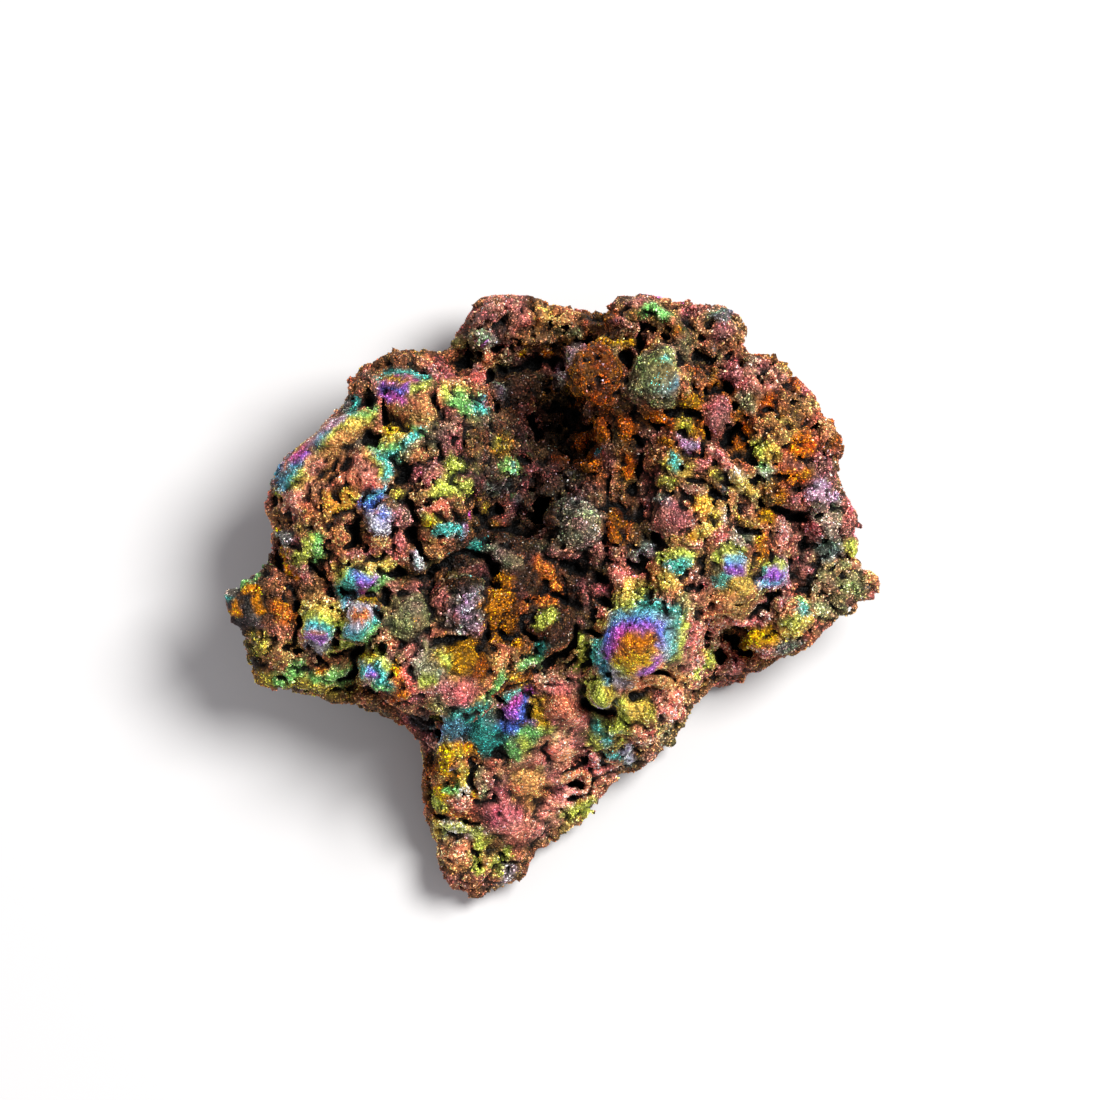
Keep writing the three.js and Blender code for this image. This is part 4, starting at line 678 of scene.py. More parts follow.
GROUNDS = [  # the ground's colour by region: x, y, half length, half width, turn, colour
    (-27, 13, 8, 5, 40, "tan"), (-20, 23, 7, 4, 20, "tan"), (-10, 20, 6, 7, 0, "brown"),
    (-31, 3, 4, 6, 0, "umber"), (-36, -2, 3.4, 2.2, -55, "dark"), (-32, -7, 4, 4, 0, "olive"),
    (-27, -10, 6, 2.2, 0, "olive"), (-24, 5, 6, 4, 0, "tan"), (-10, 33, 7, 4, 0, "brown"),
    (2, 32, 8, 4, 0, "sienna"), (17, 32, 8, 3, 0, "brown"), (5, 22, 10, 8, 0, "sienna"),
    (-4, 14, 8, 8, 0, "umber"), (-4, 3, 9, 6, 0, "umber"), (27, 21, 7, 8, 0, "rust"),
    (17, 22, 5, 6, 0, "sienna"), (20, 8, 8, 5, 0, "tan"), (31, 9, 4.5, 7, 0, "mauve"),
    (34, 1, 5, 4, 0, "moss"), (22, -2, 8, 5, 20, "tan"), (12, -6, 9, 7, 30, "pink"),
    (10, -13, 8, 4, 35, "tan"), (-14, -7, 6, 6, 0, "pink"), (-6, -7, 5, 5, 0, "sienna"),
    (-2, -18, 9, 7, 0, "mauve"), (-6, -26, 6, 6, 0, "tan"), (-11, -21, 4, 6, 0, "rust"),
    (-10, -31, 5, 4, 0, "tan"),
]

GROUND_CHANCES = (  # patches of colour by chance: colour, size, seed, where on the noise they start
    ("mauve", 4, 81, 0.1), ("tan", 3.4, 83, 0.25), ("pink", 4, 82, 0.35), ("umber", 2.6, 84, 0.3),
    ("moss", 4.2, 85, 0.45),
)


def ground_colour(points):
    """The crust's colour where no lump is listed: by region, with changes by chance."""
    ground = np.array(COLOURS["brown"]) * np.ones((len(points), 1), np.float32)
    for *area, name in GROUNDS:
        share = 0.8 * ellipses(points, [area], 1.5)[:, None]
        ground = ground * (1 - share) + np.array(COLOURS[name]) * share
    for name, size, seed, low in GROUND_CHANCES:
        mix = 0.7 * smoothstep(low, low + 0.4, layered(points, size, seed, 2))[:, None]
        ground = ground * (1 - mix) + np.array(COLOURS[name]) * mix
    return ground


# --------------------------------------------------------------------------------------------------
# Plan maps: values over (x, y), worked out from the lists above

MAP_STEP = 0.2
MAP_LOW = np.array([-40.0, -38.0])
MAP_SHAPE = (400, 380)
RAGGED = 0.55  # how far chance moves the edges of the listed forms
SHEET_EDGE = 0.6  # softness of the edges of the smooth areas
GAP_DEPTH = 0.6  # the ground between the lumps lies this deep
# painted shade: the ground's colour between the lumps is darkened by this factor
GAP_SHADE = 0.8
CRUMB_SIZE = 1.9  # small lumps by chance fill the ground between the listed ones
CRUMB_REACH = 1.35  # from a crumb's middle to its edge
CRUMB_LIFT = 1.1
LUMP_REACH = 1.12  # lumps are drawn a little larger than listed, since their edges are low
RIM_REACH = 1.4
CRUMBLE_SIZE = 2.2  # how often the clefts change their width and depth

map_points = np.zeros((*MAP_SHAPE, 3), np.float32)
map_points[..., :2] = np.stack(np.indices(MAP_SHAPE), axis=-1) * MAP_STEP + MAP_LOW
flat_points = map_points.reshape(-1, 3)
ragged = np.stack([layered(flat_points, 1.9, s, 3, 0.6) for s in (91, 94)], axis=1) * RAGGED
ragged_points = map_points[..., :2] + ragged.reshape(*MAP_SHAPE, 2)


def window(x0, y0, x1, y1):
    """The part of a plan map that covers a rectangle."""
    i0, j0 = np.clip(((np.array([x0, y0]) - MAP_LOW) / MAP_STEP).astype(int), 0, MAP_SHAPE)
    i1, j1 = np.clip(((np.array([x1, y1]) - MAP_LOW) / MAP_STEP).astype(int) + 2, 0, MAP_SHAPE)
    return slice(i0, i1), slice(j0, j1)


def line_distance(places, line):
    """Distance from each place to a line of points."""
    best = np.full(places.shape[:-1], 99.0)
    for a, b in zip(np.array(line), np.array(line[1:] or line)):
        along = b - a
        t = np.clip(((places - a) @ along) / max(along @ along, 1e-9), 0, 1)
        best = np.minimum(best, np.hypot(*np.moveaxis(places - a - t[..., None] * along, -1, 0)))
    return best


def along_line(line, reach):
    """Window round a line of points, with each place's distance to the line."""
    xs, ys = zip(*line)
    part = window(min(xs) - reach, min(ys) - reach, max(xs) + reach, max(ys) + reach)
    return part, line_distance(ragged_points[part], line)


def softened_map(values, passes):
    """A plan map with each cell mixed with its neighbours."""
    for _ in range(passes):
        for axis in (0, 1):
            values = 0.5 * values + 0.25 * (np.roll(values, 1, axis) + np.roll(values, -1, axis))
    return values


def add_lump(lift, colour, lump, lump_colour):
    """Raises a dome on the maps, where it stands higher than what is there."""
    x, y, a, b, turn, top = lump
    reach = a + b + 1
    part = window(x - reach, y - reach, x + reach, y + reach)
    steps = np.moveaxis(ragged_points[part], -1, 0)
    along, across = turned_plan(steps[0] - x, steps[1] - y, turn)
    r = np.hypot(along / (a * LUMP_REACH), across / (b * LUMP_REACH))
    dome = (top + GAP_DEPTH) * np.clip(1 - r**2.2, 0, 1) ** 0.6 - GAP_DEPTH
    higher = (dome > lift[part]) & (r < 1)
    lift[part] = np.where(higher, dome, lift[part])
    colour[part] = np.where(higher[..., None], lump_colour, colour[part])


def add_rim(lift, colour, half_width, top, rim_colour, line):
    """Raises a round rim along a line, on top of what is there."""
    part, distance = along_line(line, 1.5)
    profile = np.sqrt(np.clip(1 - (distance / (half_width * RIM_REACH)) ** 2, 0, 1))
    lift[part] += top * profile
    colour[part] += (profile > 0.3)[..., None] * (np.array(rim_colour) - colour[part]) * 0.8


def cleft_map():
    """Depth of the clefts over the plan: their width and depth change by chance on the way."""
    cleft = np.zeros(MAP_SHAPE)
    crumble = layered(flat_points, CRUMBLE_SIZE, 98, 3, 0.7).reshape(MAP_SHAPE)
    for width, depth, *line in CLEFTS:
        part, distance = along_line(line, 2.5)
        wide = (0.36 * width + 0.1) * (1 + 0.8 * crumble[part])  # about half the listed width
        profile = np.clip(1.2 - distance / wide, 0, 1)
        broken = np.clip(0.75 + 0.9 * crumble[part], 0.2, 1.1)
        cleft[part] = np.maximum(cleft[part], depth * broken * profile)
    return cleft


def form_maps():
    """Lift of the upper face and its colour, with painted light and shade, over the plan."""
    sheet = ellipses(flat_points, SMOOTH, SHEET_EDGE)
    near, _, own = cells(flat_points + np.array([0, 0, 50.0], np.float32), CRUMB_SIZE, 97)
    crumbs = (0.2 + own) * np.sqrt(np.clip(1 - (near / CRUMB_REACH) ** 2, 0, 1)) * CRUMB_LIFT
    crumbs *= 1 - 0.75 * sheet
    lift = crumbs.reshape(MAP_SHAPE) - GAP_DEPTH
    # the ground between the lumps takes painted shade; the lumps keep their colour
    colour = ground_colour(flat_points).reshape(*MAP_SHAPE, 3) * GAP_SHADE
    for name, lumps in LUMPS.items():
        for lump in lumps:
            add_lump(lift, colour, lump, COLOURS[name])
    lift = np.where(lift < 0, lift * (1 - 0.8 * sheet.reshape(MAP_SHAPE)), lift)
    for half_width, top, name, *line in RIMS:
        add_rim(lift, colour, half_width, top, COLOURS[name], line)
    # painted light and shade, multiplied into the colour
    for *area, factor in PAINTED_LIGHT_AND_SHADE:
        share = ellipses(flat_points, [area]).reshape(MAP_SHAPE)
        colour *= (1 + (factor - 1) * share)[..., None]
    return lift - cleft_map(), softened_map(colour, 1)


BAND_REACH = 1.35  # bands spread a little over their listed radius
BAND_SHARPNESS = 3.5  # how firmly the nearest band wins
BAND_CORE = 0.08  # keeps a band's weight finite on its own line
BAND_FADE = 0.7  # how fast the cover falls away from a band


def film_maps():
    """The film's colour and how far it covers the crust, over the plan."""
    total = np.full((*MAP_SHAPE, 3), 1e-6)
    weight = np.full(MAP_SHAPE, 1e-6)
    bare = np.ones(MAP_SHAPE)
    for name, bands in FILM_BANDS.items():
        for radius, *line in bands:
            part, distance = along_line(line, 3.5 * radius + 1.5)
            d2 = (distance / (radius * BAND_REACH)) ** 2
            w = 1 / (d2 + BAND_CORE) ** BAND_SHARPNESS
            weight[part] += w
            total[part] += w[..., None] * np.array(FILM[name])
            bare[part] *= 1 - 0.98 * np.exp(-BAND_FADE * d2)
    return total / weight[..., None], 1 - bare


def map_at(values, points):
    """A plan map's values at points, between its cells."""
    q = np.clip((points[:, :2] - MAP_LOW) / MAP_STEP, 0, np.array(MAP_SHAPE) - 1.001)
    cell = q.astype(int)
    f = (q - cell).astype(np.float32)
    if values.ndim == 3:
        f = f[:, :, None]
    i, j = cell.T
    fx, fy = f[:, 0], f[:, 1]
    return ((values[i, j] * (1 - fx) + values[i + 1, j] * fx) * (1 - fy)
            + (values[i, j + 1] * (1 - fx) + values[i + 1, j + 1] * fx) * fy)


# --------------------------------------------------------------------------------------------------
# Meshes as arrays

def mesh_points(mesh):
    points = np.empty(len(mesh.vertices) * 3, np.float32)
    mesh.vertices.foreach_get("co", points)
    return points.reshape(-1, 3)


def triangle_arrays(mesh):
    """A mesh's points in millimetres, and its triangles' corners."""
    mesh.calc_loop_triangles()
    corners = np.empty(len(mesh.loop_triangles) * 3, np.int32)
    mesh.loop_triangles.foreach_get("vertices", corners)
    return mesh_points(mesh) / MM, corners.reshape(-1, 3)


def mesh_from(name, points, faces):
    """A mesh from points in millimetres, and faces that all have the same number of corners."""
    mesh = bpy.data.meshes.new(name)
    mesh.vertices.add(len(points))
    mesh.vertices.foreach_set("co", (points * MM).astype(np.float32).ravel())
    mesh.loops.add(faces.size)
    mesh.loops.foreach_set("vertex_index", faces.astype(np.int32).ravel())
    mesh.polygons.add(len(faces))
    mesh.polygons.foreach_set("loop_start", np.arange(0, faces.size, faces.shape[1], dtype=np.int32))
    mesh.update(calc_edges=True)
    return mesh


# --------------------------------------------------------------------------------------------------
# The crust's shape: the CAD solid as a level set, with the forms above, then roughened by region

VOXEL = 0.33
BAND = 10.0  # half width of the level set, in voxels
SOFTENING = 4  # passes that take the CAD's facets off
FACE_DEPTH = 5.0  # the listed forms fade out this far below the upper face
FACE_FADE = 2  # half the height they fade over
FACE_SLOPE = 0.28  # upward slope of the field where the listed forms are whole: 0 on a wall, 1 where level
STURDY = (2.5, 8.0)  # how thick the solid is where hollows start, and where they have all their depth
RELIEF_REACH = 2.1  # the relief is worked out this near to the surface
INSET = 0.02  # the crust keeps this far inside the CAD box


def blurred(field, passes):
    """A grid with each voxel mixed with its neighbours."""
    for _ in range(passes):
        for axis in range(3):
            field = 0.5 * field + 0.25 * (np.roll(field, 1, axis) + np.roll(field, -1, axis))
    return field


def distance_field():
    """The CAD solid's distance field, in millimetres, with the place of its first voxel."""
    points, triangles = triangle_arrays(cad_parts["goethite"].data)
    transform = openvdb.createLinearTransform(voxelSize=VOXEL)
    grid = openvdb.FloatGrid.createLevelSetFromPolygons(
        points, triangles=triangles.astype(np.uint32), transform=transform, halfWidth=BAND
    )
    low, high = grid.evalActiveVoxelBoundingBox()
    low = np.array(low) - 2
    shape = np.array(high) + 3 - low
    field = np.full(shape, grid.background, np.float32)
    grid.copyToArray(field, ijk=tuple(int(n) for n in low))
    return blurred(field, SOFTENING), low * VOXEL


def face_heights(field, start):
    """Height of the upper face above each (x, y) of the grid."""
    inside = field < 0
    top = field.shape[2] - 1 - np.argmax(inside[:, :, ::-1], axis=2)
    return np.where(inside.any(axis=2), start[2] + top * VOXEL, 0.0)


def knobs(strength, near, own, least, reach):
    """Round knobs, one to a cell: each rises by its own number, from the least."""
    return strength * (least + own) * (1 - (near / reach) ** 2)


def relief(points, on_face):
    """How far the crust stands out from the formed solid at each point, by region."""
    sponge = ellipses(points, SPONGE, 2.0)
    smooth = ellipses(points, SMOOTH, SHEET_EDGE) * on_face
    moved = points + np.stack([noise(points, 2.6, s) for s in (1, 2, 3)], axis=1) * 0.9
    near, second, own = cells(moved, 3.3, 1)  # large knobs, for the sides most of all
    out = knobs(1 - 0.8 * on_face, near, own, 0.25, 2.3) - 0.2 * (1 - on_face)
    out -= (1 - on_face) * 0.8 * smoothstep(0.75, 0.0, second - near)
    near, second, own = cells(moved, 1.7, 2)  # middle knobs, with seams between them
    out += knobs(0.65 - 0.45 * smooth, near, own, 0.2, 1.15)
    out -= (0.55 - 0.4 * smooth) * smoothstep(0.35, 0.0, second - near)
    near, second, own = cells(moved, 0.95, 3)  # small knobs
    out += knobs(0.62 - 0.35 * smooth, near, own, 0.35, 0.6)
    out += (0.40 - 0.3 * smooth) * layered(points, 1.1, 21, 2)
    pores = layered(points, 1.25, 41, 2, 0.6)
    out -= sponge * (1 - smooth) * 1.7 * smoothstep(-0.1, -0.7, pores)
    out += sponge * (1 - smooth) * 0.5 * smoothstep(0.2, 0.9, pores)
    pits = layered(points, 2.0, 51, 2)
    out -= (1 - sponge) * (1 - smooth) * 0.9 * smoothstep(-0.55, -1.1, pits)
    reach = 0.55 + 0.55 * on_face + 0.5 * sponge
    return np.where(out > 0, reach * np.tanh(out / reach), out)


def face_field(field):
    """1 on the upper face, 0 on steep walls and well below it."""
    levels = start[2] + np.arange(field.shape[2]) * VOXEL
    below = softened_map(heights, 3)[:, :, None] - levels[None, None, :]
    slope = blurred(np.gradient(field, VOXEL, axis=2), 2)
    near_face = smoothstep(FACE_DEPTH + FACE_FADE, FACE_DEPTH - FACE_FADE, below)
    return (near_face * smoothstep(0.0, FACE_SLOPE, slope)).astype(np.float32)


def crust_field(field):
    """The solid's field with the listed forms and the relief, cut at the CAD box."""
    thickness = softened_map((field < 0).sum(axis=2) * VOXEL, 8)
    sturdy = smoothstep(*STURDY, thickness)
    lift = map_at(lift_map, grid_plan).reshape(heights.shape)
    lift = np.where(lift < 0, lift * sturdy, lift)
    field = field - (lift[:, :, None] * on_face).astype(np.float32)
    band = np.abs(field) < RELIEF_REACH
    index = np.argwhere(band)
    points = (index * VOXEL + start).astype(np.float32)
    out = relief(points, on_face[band])
    deeper = 0.15 + 0.85 * sturdy[index[:, 0], index[:, 1]]
    values = field[band] - np.where(out < 0, out * deeper, out)
    low, high = (np.array(corner) / MM for corner in cad_box)
    for axis in range(3):
        place = points[:, axis]
        values = np.maximum(values, np.maximum(low[axis] + INSET - place, place - high[axis] + INSET))
    field[band] = values
    return field


def biggest_part(field):
    """The grid's mesh with every loose crumb and closed bubble taken out."""
    grid = openvdb.FloatGrid()
    grid.copyFromArray(field)
    points, quads = grid.convertToQuads()
    edges = np.concatenate([quads[:, [0, 1]], quads[:, [1, 2]], quads[:, [2, 3]]]).astype(np.int64)
    label = np.arange(len(points))
    while True:
        low = np.minimum(label[edges[:, 0]], label[edges[:, 1]])
        new = label.copy()
        for end in (edges[:, 0], edges[:, 1], label[edges[:, 0]], label[edges[:, 1]]):
            np.minimum.at(new, end, low)
        new = new[new]
        if (new == label).all():
            break
        label = new
    kept = label == np.bincount(label).argmax()
    number = np.cumsum(kept) - 1
    return points[kept] * VOXEL + start, number[quads[kept[quads[:, 0]]]][:, ::-1]


def decimate(obj, triangles):
    """Brings a mesh down to a number of triangles, and back inside the CAD box."""
    faces = sum(len(p.vertices) - 2 for p in obj.data.polygons)
    modifier = obj.modifiers.new("decimate", "DECIMATE")
    modifier.ratio = min(1.0, triangles / faces)
    depsgraph = bpy.context.evaluated_depsgraph_get()
    mesh = bpy.data.meshes.new_from_object(obj.evaluated_get(depsgraph))
    obj.modifiers.clear()
    points = mesh_points(mesh).clip(*cad_box)
    mesh.vertices.foreach_set("co", points.astype(np.float32).ravel())
    old = obj.data
    mesh.name = old.name
    obj.data = mesh
    bpy.data.meshes.remove(old)


field, start = distance_field()
heights = face_heights(field, start)
grid_plan = np.stack(np.indices(heights.shape), axis=-1).reshape(-1, 2) * VOXEL + start[:2]
lift_map, body_map = form_maps()
film_map, cover_map = film_maps()
on_face = face_field(field)
field = crust_field(field)
crust = add_object("goethite_crust", mesh_from("goethite_crust", *biggest_part(field)))

# -------------------------------------------------------------------------------------------------- Colour of each point of the crust, with painted shade in its creases and hollows
# Colour of each point of the crust

# Painted shade: points in creases and deep hollows are darkened by how far the blurred field round them lies
# inside the solid
CAVITY_DEPTH = 2.4  # the field is cut off this far from the surface before it is blurred
FINE_CAVITY = 5  # passes of blurring
BROAD_CAVITY = 45
COLOUR_JITTER = 0.10  # how far chance moves the place whose colour a point takes
HUE_DRIFTS = (  # slow changes of hue: size, seed, change of red, green and blue
    (2.4, 79, (0.20, -0.14, 0.02)), (3.1, 75, (0.05, 0.02, -0.20)),
)
SMALL_HUE = (0.20, -0.16, 0.06)
FILM_GAIN = 1.4
LIVELINESS = 1.11  # how far colours are moved away from grey
BALANCE = (1.02, 0.97, 1.08)
SHADE_POWER = 1.8

crease_shade_field = blurred(np.clip(field, -CAVITY_DEPTH, CAVITY_DEPTH), FINE_CAVITY)
hollow_shade_field = blurred(crease_shade_field, BROAD_CAVITY)


def field_at(values, points):
    """A grid's values at points, between its voxels."""
    q = (points - start) / VOXEL
    cell = np.clip(np.floor(q).astype(int), 0, np.array(values.shape) - 2)
    total = np.zeros(len(points))
    for corner, weight in corner_weights(q - cell):
        i, j, k = (cell + corner).T
        total += weight * values[i, j, k]
    return total


def chance_film(points):
    """The film away from the upper face, by chance: its colour and how far it covers."""
    last = len(film_ramp) - 1
    step = np.clip((0.5 + 0.6 * layered(points, 7, 71, 2)) * last, 0, last - 0.001)
    first = step.astype(int)
    mix = (step - first)[:, None]
    cover = 0.75 * smoothstep(0.2, 0.7, layered(points, 6.0, 74, 2)) * smoothstep(3, 10, points[:, 2])
    return film_ramp[first] * (1 - mix) + film_ramp[first + 1] * mix, cover


def surface_colour(points, rng):
    """The crust's colour at points on it, each with a small chance difference, and the painted shade of
    their creases and hollows.
    """
    face = field_at(on_face, points)
    side = 1 - face
    moved = points + rng.normal(0, COLOUR_JITTER, points.shape).astype(np.float32)
    body = map_at(body_map, moved) * face[:, None] + ground_colour(points) * side[:, None]
    hue = 1.0
    for size, seed, change in HUE_DRIFTS:
        hue = hue + layered(moved, size, seed, 2)[:, None] * np.array(change)
    hue = hue + noise(moved, 0.7, 76)[:, None] * np.array(SMALL_HUE)
    body = body * hue * (1 + 0.5 * layered(moved, 1.3, 80, 2))[:, None]
    side_film, side_cover = chance_film(points)
    film = map_at(film_map, moved) * face[:, None] + side_film * side[:, None]
    cover = map_at(cover_map, moved) * face + side_cover * side
    cover = cover + rng.normal(0, 0.1, len(points)) + 0.2 * noise(points, 0.8, 77)
    cover = 0.9 * smoothstep(0.2, 0.75, cover)
    cover *= 1 - 0.22 * smoothstep(0.1, 0.9, layered(points, 1.8, 78, 2))
    colour = body * (1 - cover[:, None]) + FILM_GAIN * film * cover[:, None]
    grey = colour.mean(axis=1, keepdims=True)
    colour = (grey + LIVELINESS * (colour - grey)) * np.array(BALANCE)
    # painted shade: darker in creases and in deep hollows
    hollow = smoothstep(-0.36, 0.10, field_at(crease_shade_field, points))
    deep = smoothstep(-0.9, -0.05, field_at(hollow_shade_field, points))
    return colour, ((0.08 + 0.92 * hollow) * (0.25 + 0.75 * deep)) ** SHADE_POWER


def set_colour(mesh, colour):
    """Stores a colour on each point, where the material finds it."""
    rgba = np.concatenate([colour, np.ones((len(colour), 1))], axis=1).astype(np.float32)
    mesh.attributes.new("tint", "FLOAT_COLOR", "POINT").data.foreach_set("color", rgba.ravel())


# -------------------------------------------------------------------------------------------------- Materials: the colour stored on the points, painted shade included, with fine specks and bumps
# Materials: the points' own colour, with fine specks and bumps

FINE_SCALE = 2600.0  # to the metre
SPECK_SCALE = 3000.0
SPECK_LIGHT = (0.3, 1.7)
BUMP_DISTANCE = 0.00025
SPECULAR = 0.3


def make_material(name, grain_bump, metallic, roughness):
    """The colour stored on the points, with specks. Roughness is given by its two ends."""
    material = bpy.data.materials.new(name)
    material.use_nodes = True
    tree = material.node_tree
    tree.nodes.clear()

    def fill(node, inputs):
        """Sets a node's inputs, each by name or number, to a value or another node's output."""
        for key, value in inputs.items():
            if isinstance(value, bpy.types.NodeSocket):
                tree.links.new(value, node.inputs[key])
            else:
                node.inputs[key].default_value = value
        return node

    def add(kind, inputs):
        return fill(tree.nodes.new("ShaderNode" + kind), inputs)

    def ranged(value, low, high):
        return add("MapRange", {"Value": value, "To Min": low, "To Max": high}).outputs[0]

    def worked_out(operation, a, b):
        node = tree.nodes.new("ShaderNodeMath")
        node.operation = operation
        return fill(node, {0: a, 1: b}).outputs[0]

    where = add("TexCoord", {}).outputs["Object"]
    fine = add("TexNoise", {"Vector": where, "Scale": FINE_SCALE, "Detail": 1.0}).outputs["Fac"]
    speck = add("TexVoronoi", {"Vector": where, "Scale": SPECK_SCALE})
    speck_value = add("SeparateColor", {0: speck.outputs["Color"]}).outputs[1]
    tint = tree.nodes.new("ShaderNodeAttribute")
    tint.attribute_name = "tint"
    light = ranged(speck_value, *SPECK_LIGHT)
    shade = add("CombineColor", {0: light, 1: light, 2: light})
    colour = tree.nodes.new("ShaderNodeMix")
    colour.data_type = "RGBA"
    colour.blend_type = "MULTIPLY"
    fill(colour, {0: 1.0, 6: tint.outputs["Color"], 7: shade.outputs[0]})
    height = worked_out("ADD", fine, worked_out("MULTIPLY", speck.outputs["Distance"], -1.2))
    bump = add("Bump", {"Strength": grain_bump, "Distance": BUMP_DISTANCE, "Height": height})
    shader = add("BsdfPrincipled", {
        "Base Color": colour.outputs[2], "Metallic": metallic, "Roughness": ranged(fine, *roughness),
        "Normal": bump.outputs["Normal"], "Specular IOR Level": SPECULAR,
    })
    add("OutputMaterial", {"Surface": shader.outputs[0]})
    return material


# --------------------------------------------------------------------------------------------------
# The crust

CRUST_TRIANGLES = 195000
PAINTED_SHADE_UNDER_GRAINS = 0.4  # painted shade: the crust under and between the grains is darkened to this share of its colour

decimate(crust, CRUST_TRIANGLES)
crust_points, crust_corners = triangle_arrays(crust.data)
crust_colour, crust_shade = surface_colour(crust_points, np.random.default_rng(21))
# the crust's colour carries the painted shade of creases and hollows and of the gaps between grains
set_colour(crust.data, crust_colour * (crust_shade * PAINTED_SHADE_UNDER_GRAINS)[:, None])
crust.data.shade_smooth()
crust.data.materials.append(make_material("goethite_crust", 0.9, 0.45, (0.45, 0.75)))
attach(crust, "root")
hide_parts("goethite")

# --------------------------------------------------------------------------------------------------
# Grains: tiny four-sided crystals half sunk in the crust

GRAIN_PIECES = 4
GRAINS_EACH = 49000
GRAIN_SPACING = 0.21  # side of the cells that take one grain each
CELL_STRIDE = 4096  # more cells than the part has along any side
PLACES_TRIED = 6  # for each grain wanted
GRAIN_SIZE = (0.12, 0.22)  # middle to corner
GRAIN_STRETCH = (0.75, 1.3)
GRAIN_RISE = 0.25  # how far a grain's middle stands out of the crust, as a share of its size
FINER_ON_SHEETS = 0.35
LOWEST_GRAIN = 0.5
UNDERSIDE_SHARE = 0.35  # grains on faces that look down, against the rest
GRAIN_BRIGHTNESS = (0.52, 0.40)  # middle and spread of its logarithm
BRIGHTNESS_LIMITS = (0.25, 3.2)
PAINTED_HIGHLIGHT_CHANCE = 0.08  # painted highlights: some grains are painted a little paler, only outside the painted shade
PAINTED_HIGHLIGHT_SHARE = 0.15
PAINTED_HIGHLIGHT_LEVEL = 0.85
GRAIN_HUE_SPREAD = 0.12
COLOUR_LIMITS = (0.002, 0.95)
SHEET_MARGIN = 0.88  # how much of its square on the baking map a grain fills

GRAIN_CORNERS = np.array([(1, 1, 1), (1, -1, -1), (-1, 1, -1), (-1, -1, 1)], np.float32) / math.sqrt(3)
GRAIN_FACES = np.array([(0, 1, 2), (0, 2, 3), (0, 3, 1), (1, 3, 2)])

SQUARE = ((0, 0), (1, 0), (1, 1), (0, 1))
GRAIN_SHEET = np.array([  # where the four faces lie in a square of the baking map
    (SQUARE[i], SQUARE[(i + 1) % 4], (0.5, 0.5)) for i in range(4)
])


def grain_places(points, corners, count, rng):
    """Places on the crust, spread evenly, with the crust's normal at each."""
    a, b, c = (points[corners[:, i]] for i in range(3))
    cross = np.cross(b - a, c - a)
    area = np.linalg.norm(cross, axis=1)
    normal = cross / np.maximum(area, 1e-9)[:, None]
    want = area * np.where(normal[:, 2] > -0.1, 1.0, UNDERSIDE_SHARE)
    face = rng.choice(len(corners), size=PLACES_TRIED * count, p=want / want.sum())
    u, v = rng.random((2, len(face)))
    over = u + v > 1
    u, v = np.where(over, 1 - u, u), np.where(over, 1 - v, v)
    places = a[face] + u[:, None] * (b - a)[face] + v[:, None] * (c - a)[face]
    cell = np.floor(places / GRAIN_SPACING).astype(np.int64)
    number = (cell[:, 0] * CELL_STRIDE + cell[:, 1]) * CELL_STRIDE + cell[:, 2]
    _, first = np.unique(number, return_index=True)
    first = first[places[first, 2] > LOWEST_GRAIN]
    chosen = rng.permutation(first)[:count]
    return places[chosen], normal[face][chosen]


def turned(rng, count):
    """Rotations by chance."""
    q = rng.normal(size=(count, 4))
    w, x, y, z = (q / np.linalg.norm(q, axis=1)[:, None]).T
    rows = [1 - 2 * (y * y + z * z), 2 * (x * y - w * z), 2 * (x * z + w * y),
            2 * (x * y + w * z), 1 - 2 * (x * x + z * z), 2 * (y * z - w * x),
            2 * (x * z - w * y), 2 * (y * z + w * x), 1 - 2 * (x * x + y * y)]
    return np.stack(rows, axis=1).reshape(-1, 3, 3)


def grain_piece(name, places, normals, colours, rng, material):
    """One piece of grains, with a map for baking where each face has a place of its own."""
    count = len(places)
    fineness = 1 - FINER_ON_SHEETS * ellipses(places, SMOOTH, SHEET_EDGE)
    size = rng.uniform(*GRAIN_SIZE, (count, 1, 1)) * rng.uniform(*GRAIN_STRETCH, (count, 1, 3))
    size = size * fineness[:, None, None]
    shape = np.einsum("nij,nkj->nki", turned(rng, count), GRAIN_CORNERS[None] * size)
    points = shape + (places + normals * size.mean(axis=2) * GRAIN_RISE)[:, None, :]
    corners = GRAIN_FACES[None] + 4 * np.arange(count)[:, None, None]
    mesh = mesh_from(name, points.reshape(-1, 3), corners.reshape(-1, 3))
    set_colour(mesh, np.repeat(colours, 4, axis=0))
    side = math.ceil(math.sqrt(count))
    cell = np.stack([np.arange(count) % side, np.arange(count) // side], axis=1)
    on_sheet = (cell[:, None, None] + 0.5 + (GRAIN_SHEET - 0.5) * SHEET_MARGIN) / side
    mesh.uv_layers.new(name="OFBake").data.foreach_set("uv", on_sheet.astype(np.float32).ravel())
    mesh.materials.append(material)
    grains = add_object(name, mesh)
    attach(grains, "root")


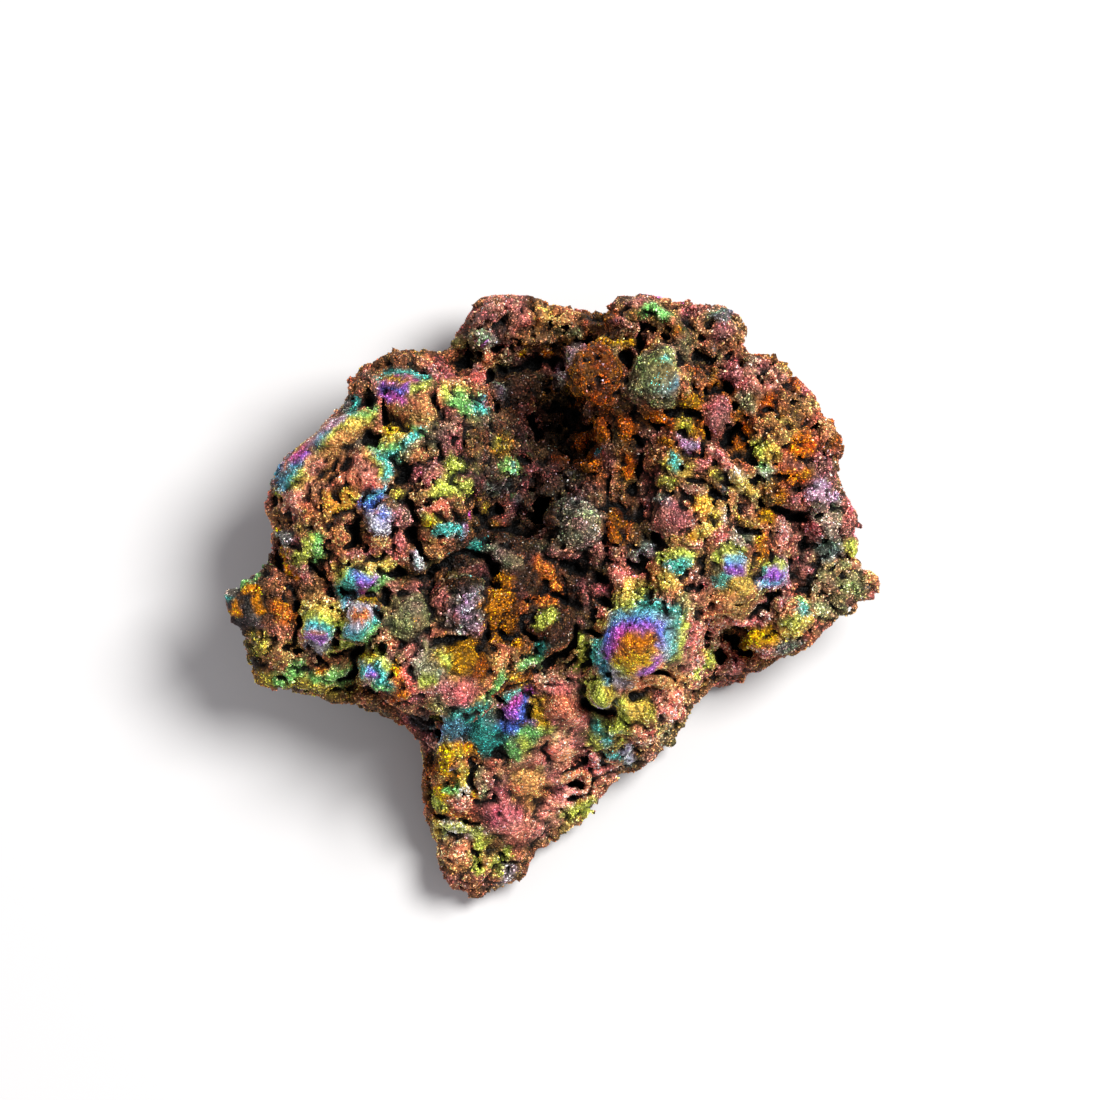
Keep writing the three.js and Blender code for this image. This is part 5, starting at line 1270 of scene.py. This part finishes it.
def add_grains():
    """All the grains, dealt out in turn to the pieces."""
    rng = np.random.default_rng(31)
    places, normals = grain_places(crust_points, crust_corners, GRAIN_PIECES * GRAINS_EACH, rng)
    colour, shade = surface_colour(places, rng)
    # each grain's brightness by chance, times the painted shade of creases and hollows
    brightness = np.exp(rng.normal(*GRAIN_BRIGHTNESS, len(places))).clip(*BRIGHTNESS_LIMITS) * shade
    # painted highlights: a few grains outside the painted shade are made paler
    painted_highlight = (rng.random(len(places)) < PAINTED_HIGHLIGHT_CHANCE)[:, None] * (shade > 0.7)[:, None] * PAINTED_HIGHLIGHT_SHARE
    colour = (colour * (1 - painted_highlight) + painted_highlight * PAINTED_HIGHLIGHT_LEVEL) * brightness[:, None]
    colour = (colour * np.exp(rng.normal(0, GRAIN_HUE_SPREAD, colour.shape))).clip(*COLOUR_LIMITS)
    material = make_material("goethite_grains", 0.3, 0.32, (0.56, 0.86))
    for i in range(GRAIN_PIECES):
        part = slice(i, None, GRAIN_PIECES)
        grain_piece(f"goethite_grains_{i + 1}", places[part], normals[part], colour[part], rng, material)


add_grains()

# --------------------------------------------------------------------------------------------------
# Floor and light. Lengths from here on are metres

FLOOR_HALF = 3
FLOOR_COLOUR = (0.5, 0.5, 0.5, 1)
LAMP_TURN, LAMP_HEIGHT = math.radians(36), math.radians(63)
LAMP_DISTANCE = 0.9
LAMP_SIZE = 0.34
LAMP_POWER = 14.9
LAMP_COLOUR = (1.0, 0.985, 0.97)
SKY_COLOUR = (0.99, 0.96, 1.0, 1)
SKY_STRENGTH = 0.63


def make_floor():
    """A plain floor at the height the part rests on."""
    mesh = bpy.data.meshes.new("floor")
    corners = [(FLOOR_HALF * (2 * x - 1), FLOOR_HALF * (2 * y - 1), 0) for x, y in SQUARE]
    mesh.from_pydata(corners, [], [(0, 1, 2, 3)])
    material = bpy.data.materials.new("floor")
    material.use_nodes = True
    inputs = material.node_tree.nodes["Principled BSDF"].inputs
    inputs["Base Color"].default_value = FLOOR_COLOUR
    inputs["Roughness"].default_value = 1.0
    inputs["Specular IOR Level"].default_value = 0.0
    mesh.materials.append(material)
    return add_object("floor", mesh)


def make_lamp():
    """One round soft lamp, aimed at the part's foot."""
    data = bpy.data.lights.new("key", "AREA")
    data.shape = "DISK"
    data.size = LAMP_SIZE
    data.energy = LAMP_POWER
    data.color = LAMP_COLOUR
    lamp = add_object("key", data)
    level = math.cos(LAMP_HEIGHT)
    away = Vector((level * math.cos(LAMP_TURN), level * math.sin(LAMP_TURN), math.sin(LAMP_HEIGHT)))
    lamp.location = away * LAMP_DISTANCE
    lamp.rotation_euler = away.to_track_quat("Z", "Y").to_euler()


floor = make_floor()
make_lamp()
world = bpy.data.worlds.new("world")
world.use_nodes = True
world.node_tree.nodes["Background"].inputs["Color"].default_value = SKY_COLOUR
world.node_tree.nodes["Background"].inputs["Strength"].default_value = SKY_STRENGTH
bpy.context.scene.world = world
bpy.context.scene.view_settings.view_transform = "Standard"
